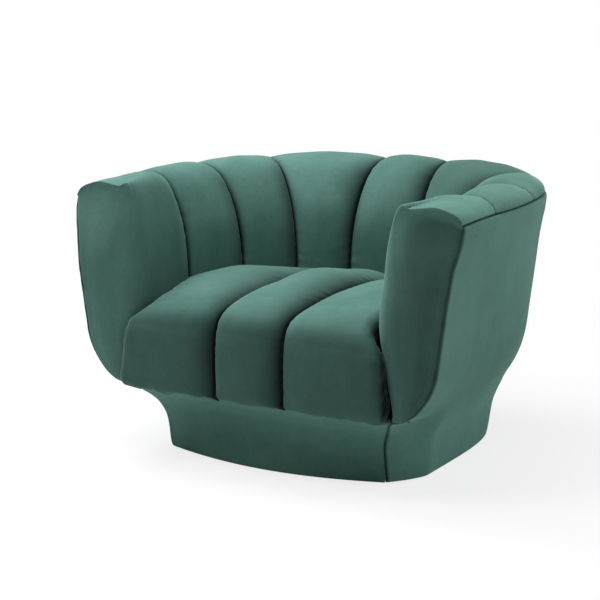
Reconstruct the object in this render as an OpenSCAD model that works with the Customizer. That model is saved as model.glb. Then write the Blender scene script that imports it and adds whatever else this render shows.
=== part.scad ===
// Channel-tufted club chair with a wrap-round wall, a fixed seat and a recessed upholstered plinth.
// Millimetres. X runs across the chair, the seat faces -Y, and Z = 0 is the floor.

/* [Overall] */
// Width across the outer panels at their top
chair_w = 1058; // [1000:2:1110]
// Depth from the front of the seat to the back of the outer back panel
chair_d = 918; // [880:2:960]
// Height to the top of the channel crests
chair_h = 684; // [650:2:720]

/* [Wall] */
// Width of an arm at seat level, from its outer panel to its creases
arm_w = 182; // [169:1:199]
// Width of the rolled top of an arm, from crest to outer seam
arm_top_w = 73; // [58:1:83]
// How far the back leans out from seat level to its crest
back_lean = 172; // [140:2:190]
// Width of the rolled top of the back, from crest to outer seam
back_top_w = 43; // [34:1:60]
// Drop from the crest to the outer top seam
seam_drop = 32; // [26:1:42]
// Height of the upright foot of the inner face, behind the seat
face_rise = 45; // [35:1:55]
// How far above the deck the channels end, behind the seat
tuck_rise = 15; // [8:1:25]
// How far a channel swells past its creases
channel_swell = 28; // [12:1:32]
// How far a channel swells over the crest
crest_swell = 12; // [6:1:16]
// Thickness of a channel at its creases
pad_t = 40; // [32:1:44]
// Thickness of a channel at the crest creases
crest_pad_t = 26; // [22:1:30]
// Distance from the seat front to where the wall starts to round
round_d = 243; // [230:1:260]

/* [Arm fronts] */
// Distance from the seat front to the face of the arm fronts
arm_front_d = 38; // [30:1:60]
// Depth of the padded arm front
leaf_t = 40; // [34:1:60]
// Width of the arm at the inner corner of its top, from the outer seam
leaf_top_w = 129; // [115:1:140]
// How far the arm fronts stand out past the arm creases at seat level
leaf_out = 11; // [6:1:24]
// How far the inner edge of an arm front swells past its channel
leaf_swell = 14; // [6:1:18]
// How far the lower tip of the arm front lies above the lower front seam of the seat
leaf_tip_rise = 12; // [10:1:26]
// How far the top of an arm falls from its first crease to its inner front corner
arm_drop = 20; // [10:1:26]
// How far the outer seam of an arm falls to its front corner
arm_seam_drop = 5; // [2:1:8]
// Radius of the inner edge of the arm front
leaf_round_r = 30; // [20:1:36]

/* [Seat] */
// Width of the centre seat channel between its creases
seat_mid_w = 186; // [160:2:220]
// Height of the seat creases at their highest
seat_crease_h = 423; // [415:1:430]
// Height of the lower front seam of the seat
seat_low_h = 174; // [170:1:182]
// How far a seat channel swells past its creases
seat_swell = 23; // [14:1:26]
// How far the front of the seat swells past its creases
front_swell = 10; // [6:1:14]
// Thickness of a seat channel at its creases
seat_pad_t = 46; // [38:1:50]
// How far the seat drops from its creases to the walls
seat_edge_drop = 30; // [20:1:34]
// Height from the underside of the foam core to the seat creases
foam_h = 93; // [86:1:99]

/* [Base] */
// Distance each side of the plinth stands in from the outer panels at the floor
base_side_in = 171; // [155:1:199]
// Distance from the seat front to the plinth front at the floor
base_front_d = 89; // [80:1:110]
// Depth the plinth stands in from the outer back panel at the floor
base_back_in = 158; // [140:2:180]
// How far each front corner of the plinth stands in from its side
base_corner_in = 60; // [48:1:78]
// How far the plinth front bows forward of its corners
base_bow = 53; // [20:1:60]
// Gap under the lower edge of the cover
hem_h = 3; // [2:0.5:4]

/* [Covers and clearances] */
// Thickness of the padded outer panels
panel_t = 10; // [8:0.5:14]
// How far an outer panel swells past its top seam
panel_swell = 6; // [3:0.5:8]
// Gap between the cloth of two channels in a crease
seam_gap = 0.6; // [0.4:0.1:1]
// Clearance between soft and rigid pieces
clear = 0.4; // [0.3:0.1:0.6]
// Thickness of the lining behind the channels
lining_t = 2; // [1.5:0.5:3]
// Thickness of the dust cover
dust_t = 1; // [0.8:0.1:1.5]

/* [Frame] */
// Thickness of the plywood
ply_t = 18; // [15:1:21]
// Height of the plinth under its top ring
plinth_h = 112; // [100:1:118]
// Width of the plywood rings
ring_w = 70; // [60:1:90]
// Thickness of the plywood ribs
rib_t = 20; // [16:1:24]
// How far the underside of the top rail lies below the crest of the padding's back
top_rail_drop = 26; // [25:1:40]
// Height of the seat rails
rail_h = 70; // [60:1:76]
// Thickness of the seat rails
rail_t = 27; // [22:1:32]
// Thickness of the seat front board
board_t = 12; // [9:1:15]

/* [Springs] */
// Number of sinuous springs
spring_count = 5; // [4:1:6]
// Diameter of the spring wire
wire_d = 3.8; // [3.2:0.1:4.2]
// Width of a spring over its loops
spring_w = 50; // [44:1:56]
// Loops on each spring
loop_count = 13; // [13:2:21]

/* [Hardware] */
// Diameter of a floor glide
glide_d = 28; // [20:1:34]
// Height of a floor glide
glide_h = 7; // [6:0.5:8]
// Diameter of the frame bolts
bolt_d = 8; // [6:1:10]
// Diameter of the frame screws
screw_d = 5; // [4:0.5:6]

/* [Hidden] */

velvet = "#2f6a5a";
velvet_dark = "#28594c";
birch = "#c9a877";
steel = "#8c9094";
overrun = 2;
fine = 48;

// Shapes of the plan curves, as superellipse exponents: rounder at 2, squarer as they grow
low_n = 2.3;
crest_n = 2.8;
floor_n = 4.5;

// Where the creases between the channels cross the three plan curves, in degrees from straight across
low_seam_angles = [9, 38.7, 59.4, 77.5];
crest_seam_angles = [5.9, 30.9, 53, 81.7];
outer_seam_angles = [0.4, 25.8, 51.3, 81.9];
// Where the outer side panels meet the outer back panel
panel_seam_angle = 52;
// Where the plywood ribs stand
rib_angles = [3, 29, 52, 77];

// Half sizes of the plan curves about the rounding centre
low_a = chair_w / 2 - arm_w;
outer_a = chair_w / 2 - panel_swell;
crest_a = outer_a - arm_top_w;
outer_b = chair_d - panel_swell - round_d;
crest_b = outer_b - back_top_w;
low_b = crest_b - back_lean;
floor_a = chair_w / 2 - base_side_in;
floor_b = outer_b - base_back_in;
crest_h = chair_h - crest_swell;
seam_h = crest_h - seam_drop;
top_rail_h = crest_h - crest_pad_t - top_rail_drop;
deck_h = seat_crease_h - foam_h;
tuck_h = deck_h + tuck_rise;
face_h = tuck_h + face_rise;
leaf_tip_h = seat_low_h + leaf_tip_rise;
platform_h = plinth_h + ply_t;
rib_foot_h = platform_h + ply_t;
// Small sizes that several pieces share
clip_t = 1.2;
clip_w = 14;
frame_gap = 3;
lining_gap = 2;
seat_side_gap = 5;
seat_rear_gap = 15;
rail_top_h = deck_h - wire_d - clip_t - clear;
rail_foot_h = rail_top_h - rail_h;

// Outline of the outer shell: height as a share of the seam height, inset as a share of the
// distance from the top seam to the floor, and the shares of the front narrowing and depth.
// A negative inset is a share of the panel's swell.
shell_shares = [
  [1, 0, 0, 0.99], [0.985, -1, 0, 0.98], [0.94, -0.6, -0.02, 0.97], [0.84, 0.07, -0.08, 0.984],
  [0.69, 0.172, -0.16, 1], [0.56, 0.25, -0.18, 1], [0.46, 0.305, -0.18, 1], [0.4, 0.368, -0.12, 1],
  [0.35, 0.453, 0.0, 1], [0.31, 0.545, 0.15, 1], [0.285, 0.612, 0.43, 1], [0.262, 0.67, 0.92, 0.8],
  [0.225, 0.74, 1.1, 0.49], [0.19, 0.805, 1.16, 0.3], [0.145, 0.87, 1.18, 0.17],
  [0.08, 0.915, 1.13, 0.06], [0.02, 0.95, 1.03, 0.01], [0, 0.97, 1, 0]
];
shell_rows = [for (s = shell_shares)
  [s[0], s[1] < 0 ? s[1] * panel_swell / (outer_a - floor_a) : s[1], s[2], s[3]]];
narrowing_w = base_corner_in;
corner_d = base_front_d + base_bow;
shell_lean_d = 33;
shell_lean_h = 200;

// Side view of the seat crease: distance back as a share of the seat depth, and height as a
// share of the rise from the lower seam to the crease height
seat_path_shares = [
  [0.047, 0], [0.018, 0.045], [0.004, 0.14], [0, 0.28], [0, 0.44], [0.005, 0.62], [0.02, 0.75],
  [0.048, 0.845], [0.095, 0.905], [0.18, 0.945], [0.29, 0.975], [0.4, 0.99], [0.52, 1],
  [0.64, 0.975], [0.74, 0.935], [0.85, 0.885], [0.93, 0.85], [0.975, 0.81], [0.994, 0.76]
];

function mix(a, b, share) = a + (b - a) * share;
function clamp(x, low, high) = min(max(x, low), high);
function unit(v) = v / norm(v);
function at_y(d) = d - chair_d / 2;
round_y = at_y(round_d);

// Point of a plan curve, seen from the rounding centre at an angle from straight across
function rail_point(a, b, n, angle) =
  pow(pow(abs(cos(angle)) / a, n) + pow(abs(sin(angle)) / b, n), -1 / n) * [cos(angle), sin(angle)]
  + [0, round_y];

// Half width of a plan curve at a given y
function rail_x(a, b, n, y) =
  y <= round_y ? a : a * pow(max(1 - pow((y - round_y) / b, n), 0), 1 / n);

// Angles of the two creases of a rounded channel, on the low, crest and outer curves
function all_seams(angles) = concat(angles, [for (i = [3:-1:0]) 180 - angles[i]]);
function seam_angle(table, i, u) = mix(all_seams(table)[i], all_seams(table)[i + 1], u);

// Face of the wall: v runs -1..0 behind the seat, 0..1 up the inner face, 1..2 over to the outer seam
function wall_curve(low, crest, outer, top, v) =
  v <= 0 ? [low.x, low.y, mix(face_h, tuck_h, -v)] :
  v <= 1 ? [mix(low.x, crest.x, 1 - cos(90 * v)), mix(low.y, crest.y, 1 - cos(90 * v)),
            mix(face_h, top, sin(90 * v))] :
  [mix(crest.x, outer.x, sin(90 * (v - 1))), mix(crest.y, outer.y, sin(90 * (v - 1))),
   mix(seam_h, top, cos(90 * (v - 1)))];

function wall_point(i, u, v, deep) =
  wall_curve(
    rail_point(low_a + deep * pad_t, low_b + deep * pad_t, low_n, seam_angle(low_seam_angles, i, u)),
    rail_point(crest_a, crest_b, crest_n, seam_angle(crest_seam_angles, i, u)),
    rail_point(outer_a - deep * panel_t, outer_b - deep * panel_t, crest_n,
               seam_angle(outer_seam_angles, i, u)),
    crest_h - deep * crest_pad_t, v);

function wall_normal(i, u, v, e = 0.02) =
  unit(cross(wall_point(i, u, v + e, 0) - wall_point(i, u, v - e, 0),
             wall_point(i, min(u + e, 1), v, 0) - wall_point(i, max(u - e, 0), v, 0)));

// Swell of a channel across its width and along its length
function bulge(u) = pow(1 - pow(abs(2 * u - 1), 2.4), 0.7);
function swell_along(v) =
  v < 0.4 ? channel_swell * pow(sin(90 * clamp((v + 0.05) / 0.45, 0, 1)), 2) :
  v < 0.6 ? channel_swell :
  v < 1 ? mix(crest_swell, channel_swell, (1 + cos(180 * (v - 0.6) / 0.4)) / 2) :
  crest_swell * pow(cos(45 * (v - 1)), 2) * (1 - 0.6 * (v - 1));

face_steps = [-1, -0.4, -0.05, 0.1, 0.22, 0.35, 0.48, 0.6, 0.72, 0.84, 0.94, 1.06, 1.25, 1.5, 1.75, 2];
across = 8;

// Closed loft through rings of equal length; strips pair the first and last half of each end ring
function loft_faces(rings, count, flip = false) =
  let(half = floor(count / 2))
  [for (r = [0:rings - 2]) for (k = [0:count - 1])
     let(a = r * count + k, b = r * count + (k + 1) % count, c = a + count, d = b + count)
     each [flip ? [a, c, b] : [a, b, c], flip ? [b, c, d] : [b, d, c]]];
function end_faces(start, count, flip) =
  [for (k = [0:floor(count / 2) - 2])
     let(a = start + k, b = start + k + 1, c = start + count - 2 - k, d = start + count - 1 - k)
     each [flip ? [a, b, d] : [a, d, b], flip ? [b, c, d] : [b, d, c]]];
module loft(rings, flip = false) {
  count = len(rings[0]);
  polyhedron(
    points = [for (ring = rings) each ring],
    faces = concat(
      loft_faces(len(rings), count, flip),
      end_faces(0, count, flip),
      end_faces((len(rings) - 1) * count, count, !flip)));
}

// One channel of the rounded part of the wall, between creases i and i + 1
module wall_channel(i) {
  rings = [for (v = face_steps)
    let(width = norm(wall_point(i, 1, v, 0) - wall_point(i, 0, v, 0)), g = seam_gap / width)
    concat(
      [for (k = [0:across]) let(u = mix(g, 1 - g, k / across))
         wall_point(i, u, v, 0) + wall_normal(i, u, v) * swell_along(v) * bulge(k / across)],
      [for (k = [across:-1:0]) wall_point(i, mix(g, 1 - g, k / across), v, 1)])];
  loft(rings);
}

module channel_left_side() { color(velvet) mirror([1, 0, 0]) wall_channel(0); }
module channel_left_rear() { color(velvet) mirror([1, 0, 0]) wall_channel(1); }
module channel_left_corner() { color(velvet) mirror([1, 0, 0]) wall_channel(2); }
module channel_back() { color(velvet) wall_channel(3); }
module channel_right_corner() { color(velvet) wall_channel(2); }
module channel_right_rear() { color(velvet) wall_channel(1); }
module channel_right_side() { color(velvet) wall_channel(0); }

// Outer shell of the chair: size, corner and front edge at each height
function shell_h(s) = mix(hem_h, seam_h, s[0]);
function shell_a(s) = mix(outer_a, floor_a, s[1]);
function shell_b(s) = mix(outer_b, floor_b, s[1]);
function shell_n(s) = mix(crest_n, floor_n, max(s[1], 0));
function shell_front_d(s) =
  mix(corner_d, arm_front_d, s[3]) + shell_lean_d * pow(max(shell_h(s) - seam_h + shell_lean_h, 0) / shell_lean_h, 2);
function shell_front_x(s) = shell_a(s) - narrowing_w * s[2];
function shell_side(s, share, inset) =
  let(y = mix(at_y(shell_front_d(s)), round_y, share))
  [shell_a(s) - inset - narrowing_w * s[2] * pow(1 - share, 1.5), y, shell_h(s)];
function shell_round(s, angle, inset) =
  let(p = rail_point(shell_a(s) - inset, shell_b(s) - inset, shell_n(s), angle)) [p.x, p.y, shell_h(s)];
side_stations_share = [0, 0.12, 0.35, 0.65];
function shell_station(s, k, inset) =
  k < len(side_stations_share) ? shell_side(s, side_stations_share[k], inset) :
  shell_round(s, (k - len(side_stations_share)) * panel_seam_angle / round_steps, inset);
round_steps = 8;

// Rings of a panel run down its outer face and back up its inner face
module outer_panel_right() {
  rows = len(shell_rows);
  color(velvet_dark)
    loft([for (k = [0:len(side_stations_share) + round_steps])
      concat(
        [for (r = [0:rows - 1]) shell_station(shell_rows[r], k, 0)],
        [for (r = [rows - 1:-1:0]) shell_station(shell_rows[r], k, panel_t)])], true);
}
module outer_panel_left() { mirror([1, 0, 0]) outer_panel_right(); }
module outer_panel_back() {
  rows = len(shell_rows);
  steps = 12;
  seam_turn = atan(seam_gap / outer_a);
  color(velvet_dark)
    loft([for (k = [0:steps])
      let(angle = mix(panel_seam_angle + seam_turn, 180 - panel_seam_angle - seam_turn, k / steps))
      concat(
        [for (r = [0:rows - 1]) shell_round(shell_rows[r], angle, 0)],
        [for (r = [rows - 1:-1:0]) shell_round(shell_rows[r], angle, panel_t)])], true);
}

// The plinth front tucks under the seat and runs between the front edges of the side panels
base_top_share = (seat_low_h - clear - hem_h) / (seam_h - hem_h);
base_rows = [for (s = shell_rows) if (s[0] < base_top_share) s];
base_top = concat([base_top_share], [for (j = [1:3])
  let(above = [for (s = shell_rows) if (s[0] >= base_top_share) s], a = above[len(above) - 1], b = base_rows[0])
  mix(a[j], b[j], (a[0] - base_top_share) / (a[0] - b[0]))]);
function base_front(s, share, inset) =
  let(x = (shell_front_x(s) - panel_t - seam_gap) * share, under = s[0] / base_top_share)
  [x, at_y(shell_front_d(s) - mix(base_bow, clear, under) * (1 - pow(share, 2))) + inset, shell_h(s)];
module base_front_panel() {
  rows = concat([base_top], base_rows);
  steps = 8;
  last = len(rows) - 1;
  color(velvet_dark)
    loft([for (k = [0:steps]) let(share = 1 - 2 * k / steps)
      concat(
        [for (r = [0:last]) base_front(rows[r], share, 0)],
        [for (r = [last:-1:0]) base_front(rows[r], share, panel_t)])], false);
}

// Front channel of an arm: it starts at the first crease, runs forward and closes the arm front
function tip_share(z) = clamp((face_h - z) / (face_h - leaf_tip_h), 0, 1);
leaf_low_x = low_a + leaf_out;
leaf_top_x = outer_a - leaf_top_w;
leaf_tip_in = 46;
function leaf_bulge(v) = leaf_swell * (v < 0.75 ? pow(cos(90 * max(v, 0) / 0.75), 2) : 0);
function front_low(s) = mix(rail_point(low_a, low_b, low_n, low_seam_angles[0]).x, leaf_low_x, s);
function front_crest(s) =
  mix(rail_point(crest_a, crest_b, crest_n, crest_seam_angles[0]).x, leaf_top_x, pow(s, 1.4));
function lean_curve(v, s) = mix(1 - cos(90 * v), pow(sin(90 * v), 2), s);
leaf_steps = [-1, -0.75, -0.5, -0.25, 0, 0.2, 0.4, 0.6, 0.8, 0.93, 1.07, 1.35, 1.7, 2];
function arm_z(v, s, deep, low_end) =
  v <= 0 ? mix(face_h, low_end, -v) :
  v <= 1 ? mix(face_h, crest_h - deep * crest_pad_t, sin(90 * v)) :
  mix(seam_h, crest_h - deep * crest_pad_t, cos(90 * (v - 1)));
function arm_x(v, s, deep, leaf) =
  v <= 0 ? front_low(s) + deep * pad_t + (leaf ? leaf_tip_in * pow(-v, 1.5) : 0) :
  v <= 1 ? mix(front_low(s) + deep * pad_t, front_crest(s), lean_curve(v, s)) :
  mix(front_crest(s), outer_a - deep * panel_t, sin(90 * (v - 1)));
function arm_fall(v, s) =
  pow(s, 1.5) * (v <= 1 ? arm_drop * pow(clamp((v - 0.6) / 0.4, 0, 1), 2) : mix(arm_drop, arm_seam_drop, v - 1));
function arm_swell(v, s) = v <= 1 ? swell_along(v) * pow(sin(90 * min(s / 0.42, 1)), 0.8) :
  swell_along(v) * sin(90 * min(s / 0.42, 1));
function crease_y(v) =
  let(low = rail_point(low_a, low_b, low_n, low_seam_angles[0]).y,
      crest = rail_point(crest_a, crest_b, crest_n, crest_seam_angles[0]).y,
      outer = rail_point(outer_a, outer_b, crest_n, outer_seam_angles[0]).y)
  v <= 0 ? low : v <= 1 ? mix(low, crest, 1 - cos(90 * v)) : mix(crest, outer, sin(90 * (v - 1)));
leaf_back_y = at_y(arm_front_d + leaf_t);
function arm_point(v, s, deep) =
  [arm_x(v, s, deep, false) - (v <= 1 ? 1 : 0.3) * (1 - deep) * arm_swell(v, s)
   - (v > 0 ? (1 - deep) * leaf_bulge(v) * pow(s, 2) : 0),
   mix(crease_y(v) - seam_gap, leaf_back_y, s),
   arm_z(v, s, deep, tuck_h) + (v < 0.5 ? 0 : 1) * (1 - deep) * arm_swell(v, s) * sin(90 * min(v, 2 - v))
   - arm_fall(v, s)];

// Outer edge of the arm front: it follows the front edge of the outer panel down to the tip
function shell_at(z) =
  let(share = (z - hem_h) / (seam_h - hem_h),
      above = [for (s = shell_rows) if (s[0] >= share) s],
      below = [for (s = shell_rows) if (s[0] < share) s],
      a = above[len(above) - 1], b = below[0], t = (a[0] - share) / (a[0] - b[0]))
  [share, mix(a[1], b[1], t), mix(a[2], b[2], t), mix(a[3], b[3], t)];
function leaf_edge(v) =
  let(z = v <= 1 ? mix(leaf_tip_h, top_rail_h, pow((v + 1) / 2, 0.9)) : mix(top_rail_h, seam_h - leaf_round_r / 2, v - 1),
      s = shell_at(z))
  [shell_front_x(s) - panel_t - clear, z];
function leaf_front_y(z) = at_y(shell_front_d(shell_at(clamp(z, leaf_tip_h, seam_h - clear))));
function leaf_inner(v) =
  [min(arm_x(v, 1, 0, true), outer_a - panel_t - clear) - (v <= 1 ? arm_swell(max(v, 0.4), 1) : 0) - leaf_bulge(v),
   arm_z(v, 1, 0, leaf_tip_h) + (v <= 1 ? 0 : crest_swell * 0.2 * sin(90 * (v - 1))) - arm_fall(v, 1)];
// Rings of the arm front: inset from the inner and outer edges, and how far forward they lie
leaf_rings_share = [[0, 0, 0], [0, 0, 0.35], [0.06, 0, 0.62], [0.24, 0.04, 0.84], [0.55, 0.2, 0.97],
                    [0.95, 0.6, 1.08], [1.5, 1.2, 1.17]];
function leaf_pair(v, ring) =
  let(a = leaf_inner(v), b = leaf_edge(v), w = norm(b - a), ia = min(ring[0] * leaf_round_r, w * 0.42),
      ib = min(ring[1] * leaf_round_r, w * 0.42), d = (b - a) / w, p = a + d * ia, q = b - d * ib)
  [[p.x, mix(leaf_back_y, leaf_front_y(p.y), ring[2]), p.y],
   [q.x, mix(leaf_back_y, leaf_front_y(q.y), ring[2]), q.y]];
module arm_channel() {
  last = len(leaf_steps) - 1;
  run = [0, 0.05, 0.14, 0.28, 0.5, 0.75, 0.995];
  body = [for (s = run)
    concat(
      [for (v = leaf_steps) arm_point(v, s, 0)],
      [for (j = [last:-1:0]) arm_point(leaf_steps[j], s, 1)])];
  front = [for (ring = leaf_rings_share)
    concat(
      [for (v = leaf_steps) leaf_pair(v, ring)[0]],
      [for (j = [last:-1:0]) leaf_pair(leaf_steps[j], ring)[1]])];
  loft(concat(body, front));
}
module channel_right_front() { color(velvet) arm_channel(); }
module channel_left_front() { color(velvet) mirror([1, 0, 0]) arm_channel(); }

// Seat: channels run from the lower front seam over the waterfall edge to the back
seat_len = round_d + low_b - front_swell - seat_rear_gap;
seat_last = len(seat_path_shares) - 1;
seat_rear_drop = 60;
function seat_height(k) =
  k > 12 ? seat_crease_h - seat_rear_drop * (1 - seat_path_shares[k][1]) / (1 - seat_path_shares[seat_last][1]) :
  mix(seat_low_h, seat_crease_h, seat_path_shares[k][1]);
function seat_side_point(k) = [front_swell + seat_path_shares[k][0] * seat_len, seat_height(k)];
function seat_side_normal(k) =
  let(d = unit(seat_side_point(min(k + 1, seat_last)) - seat_side_point(max(k - 1, 0)))) [-d.y, d.x];
function seat_edge_x(k) =
  let(p = seat_side_point(k), z = p.y, y = at_y(p.x),
      front_x = leaf_low_x - channel_swell - leaf_swell
        + (y < leaf_back_y + seat_pad_t ? leaf_tip_in * pow(tip_share(z), 1.5) : 0),
      blend = clamp((y - leaf_back_y - leaf_t) / (round_y - leaf_back_y), 0, 1))
  max(mix(front_x, rail_x(low_a, low_b, low_n, y), y < round_y ? blend : 1) - seat_side_gap,
      seat_mid_w / 2 + leaf_t / 4);
function seat_fade(k) = clamp((1 - seat_path_shares[k][0]) / 0.12, 0, 1);
function seat_crown(k) =
  mix(front_swell, seat_swell, clamp((seat_side_point(k).y - face_h * 0.88) / (seat_crease_h - face_h * 0.88), 0, 1))
  * seat_fade(k) * (k == 0 ? 0.2 : k == 1 ? 0.6 : 1);
function edge_share(k) = clamp((seat_side_point(k).y - seat_low_h) / (face_h - seat_low_h), 0, 1);
function seat_point(k, x, lift, depth) =
  let(p = seat_side_point(k), n = seat_side_normal(k), q = p + n * (lift - depth)) [x, at_y(q.x), q.y];
module seat_channel(wide) {
  steps = 9;
  rings = [for (k = [0:seat_last])
    let(x0 = wide ? seat_mid_w / 2 + seam_gap / 2 : -seat_mid_w / 2 + seam_gap / 2,
        x1 = wide ? seat_edge_x(k) : seat_mid_w / 2 - seam_gap / 2)
    concat(
      [for (j = [0:steps]) let(u = j / steps)
        seat_point(k, mix(x0, x1, u), seat_crown(k) * bulge(u) - (wide ? seat_edge_drop * edge_share(k) * pow(u, 2.2) : 0), 0)],
      [for (j = [steps:-1:0]) seat_point(k, mix(x0, x1, j / steps), 0, seat_pad_t)])];
  loft(rings, true);
}
module seat_channel_centre() { color(velvet) seat_channel(false); }
module seat_channel_right() { color(velvet) seat_channel(true); }
module seat_channel_left() { color(velvet) mirror([1, 0, 0]) seat_channel(true); }

// Foam core between the spring deck and the channels
function plan_points(a, b, n, steps = 24) = [for (k = [0:steps]) rail_point(a, b, n, 180 * k / steps)];
board_back_d = arm_front_d + leaf_t + board_t;
module seat_foam_core() {
  deep = [for (k = [6:15]) seat_side_point(k) - seat_side_normal(k) * (seat_pad_t + clear)];
  rear = [for (p = deep) if (p.x > board_back_d + clear) p];
  color("#e6dcb8")
    intersection() {
      rotate([90, 0, 90])
        translate([0, 0, -low_a])
          linear_extrude(height = 2 * low_a)
            polygon(concat(
              [[at_y(board_back_d), deck_h]],
              [for (p = rear) [at_y(p.x), p.y]],
              [[at_y(rear[len(rear) - 1].x), deck_h]]));
      translate([0, 0, deck_h - overrun])
        linear_extrude(height = seat_crease_h)
          polygon(concat(
            plan_points(low_a - seat_edge_drop, low_b - seat_edge_drop, low_n),
            [[-low_a + seat_edge_drop, at_y(board_back_d)], [low_a - seat_edge_drop, at_y(board_back_d)]]));
    }
}

// Cloth lining stretched behind the channels, over the ribs
lining_steps = [-1, -0.2, 0.2, 0.4, 0.6, 0.78];
function lining_point(angle, v, extra) =
  wall_curve(
    rail_point(low_a + pad_t + extra, low_b + pad_t + extra, low_n, angle),
    rail_point(crest_a + extra, crest_b + extra, crest_n, angle),
    rail_point(outer_a, outer_b, crest_n, angle), crest_h - crest_pad_t, v);
module wall_lining() {
  steps = 26;
  last = len(lining_steps) - 1;
  color("#d8d2c0")
    loft([for (k = [0:steps]) let(angle = mix(rib_angles[0], 180 - rib_angles[0], k / steps))
      concat(
        [for (v = lining_steps) lining_point(angle, v, lining_gap)],
        [for (j = [last:-1:0]) lining_point(angle, lining_steps[j], lining_gap + lining_t)])], true);
}

// Ribs: plywood profiles between the lining and the outer panels
rib_rows = [for (s = shell_rows) if (shell_h(s) > rib_foot_h && shell_h(s) < top_rail_h) s];
function radius(p) = norm([p.x, p.y - round_y]);
function shell_radius(s, angle) = radius(rail_point(shell_a(s), shell_b(s), shell_n(s), angle)) - panel_t;
rib_foot_w = 50;
top_rail_v = asin((top_rail_h - face_h) / (crest_h - crest_pad_t - face_h)) / 90;
module rib(angle) {
  below = [for (k = [0:8]) lining_point(angle, top_rail_v * k / 8, lining_t + lining_gap + frame_gap)];
  cut = rib_t * abs(cos(angle) * sin(angle)) / 2 + frame_gap * 1.2;
  foot = shell_at(rib_foot_h);
  head = shell_at(top_rail_h);
  translate([0, round_y, 0])
    rotate([90, 0, angle])
      translate([0, 0, -rib_t / 2])
        linear_extrude(height = rib_t)
          polygon(concat(
            [[min(radius(below[0]), shell_radius(foot, angle) - cut - rib_foot_w), rib_foot_h]],
            [[radius(below[0]), tuck_h - frame_gap]],
            [for (p = below) [radius(p), p.z]],
            [[shell_radius(head, angle) - cut, top_rail_h]],
            [for (s = rib_rows) [shell_radius(s, angle) - cut, shell_h(s)]],
            [[shell_radius(foot, angle) - cut, rib_foot_h]]));
}
module wall_ribs() {
  color(birch)
    for (angle = rib_angles) {
      rib(angle);
      rib(180 - angle);
    }
}

// Arm front formers: plywood behind the padded arm fronts, with the front rail between them
knee_row = 9;
former_foot_h = max(leaf_tip_h + board_t, shell_h(shell_rows[knee_row]) - board_t / 2);
former_in_x = leaf_low_x + pad_t + frame_gap;
former_rows = [for (s = shell_rows) if (shell_h(s) > former_foot_h && shell_h(s) < top_rail_h) s];
module arm_front_right() {
  foot = shell_at(former_foot_h + frame_gap);
  head = shell_at(top_rail_h);
  gap = panel_t + frame_gap;
  inner = [for (k = [1:6]) let(v = top_rail_v * k / 6)
    [arm_x(v, 1, 1, false) + 2 * frame_gap, arm_z(v, 1, 1, tuck_h)]];
  color(birch)
    translate([0, leaf_back_y + board_t + ply_t + clear, 0])
      rotate([90, 0, 0])
        linear_extrude(height = ply_t)
          polygon(concat(
            [[shell_front_x(foot) - gap, former_foot_h], [former_in_x, former_foot_h + frame_gap * 4]],
            [[former_in_x, face_h]],
            inner,
            [[shell_front_x(head) - gap, top_rail_h]],
            [for (s = former_rows) [shell_front_x(s) - gap, shell_h(s)]]));
}
module arm_front_left() { mirror([1, 0, 0]) arm_front_right(); }

// Flat plywood pieces cut to the plan of the shell
function ring_outline(s, inset, steps = 36) =
  concat(
    [for (k = [0:steps]) let(p = shell_round(s, 180 * k / steps, inset)) [p.x, p.y]],
    [for (k = [0:8]) let(share = 1 - k / 8, p = shell_side(s, share, inset)) [-p.x, max(p.y, at_y(shell_front_d(s)))]],
    [for (k = [0:8]) let(share = k / 8, p = shell_side(s, share, inset)) [p.x, max(p.y, at_y(shell_front_d(s)))]]);
module plan_shape(z, inset, steps) {
  s = shell_at(max(z, hem_h + clear));
  intersection() {
    polygon(ring_outline(s, inset, steps));
    translate([-chair_w / 2, at_y(shell_front_d(s)) + inset])
      square([chair_w, chair_d]);
  }
}
module plate(z, t, inset) {
  translate([0, 0, z])
    linear_extrude(height = t)
      plan_shape(z, inset, 36);
}
module plate_ring(z, t, inset) {
  difference() {
    plate(z, t, inset);
    bolt_holes();
    translate([0, 0, z - overrun])
      linear_extrude(height = t + 2 * overrun)
        plan_shape(z, inset + ring_w, 20);
  }
}
module plinth_bottom_ring() { color(birch) plate_ring(glide_h + dust_t, ply_t, panel_t + frame_gap); }
module plinth_top_ring() { color(birch) plate_ring(plinth_h, ply_t, panel_t + frame_gap); }
module seat_platform() { color(birch) plate_ring(platform_h, ply_t, panel_t + frame_gap); }
module dust_cover() {
  color("#23252a") plate(glide_h, dust_t, panel_t + frame_gap * 2);
}

module top_rail() {
  inner_share = 0.9;
  inner_n = mix(low_n, crest_n, inner_share / 2);
  s = shell_at(top_rail_h + ply_t);
  inset = panel_t + frame_gap;
  in_a = mix(low_a + pad_t, crest_a, inner_share) + lining_t + clear * 4;
  in_b = mix(low_b + pad_t, crest_b, inner_share) + lining_t + clear * 4;
  front_y = leaf_back_y + board_t + clear;
  color(birch)
    translate([0, 0, top_rail_h])
      linear_extrude(height = ply_t)
        difference() {
          polygon(concat(plan_points(shell_a(s) - inset, shell_b(s) - inset, crest_n, 40),
            [[-shell_a(s) + inset, front_y], [shell_a(s) - inset, front_y]]));
          polygon(concat(plan_points(in_a, in_b, inner_n, 40),
            [[-in_a, front_y - overrun], [in_a, front_y - overrun]]));
        }
}

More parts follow.
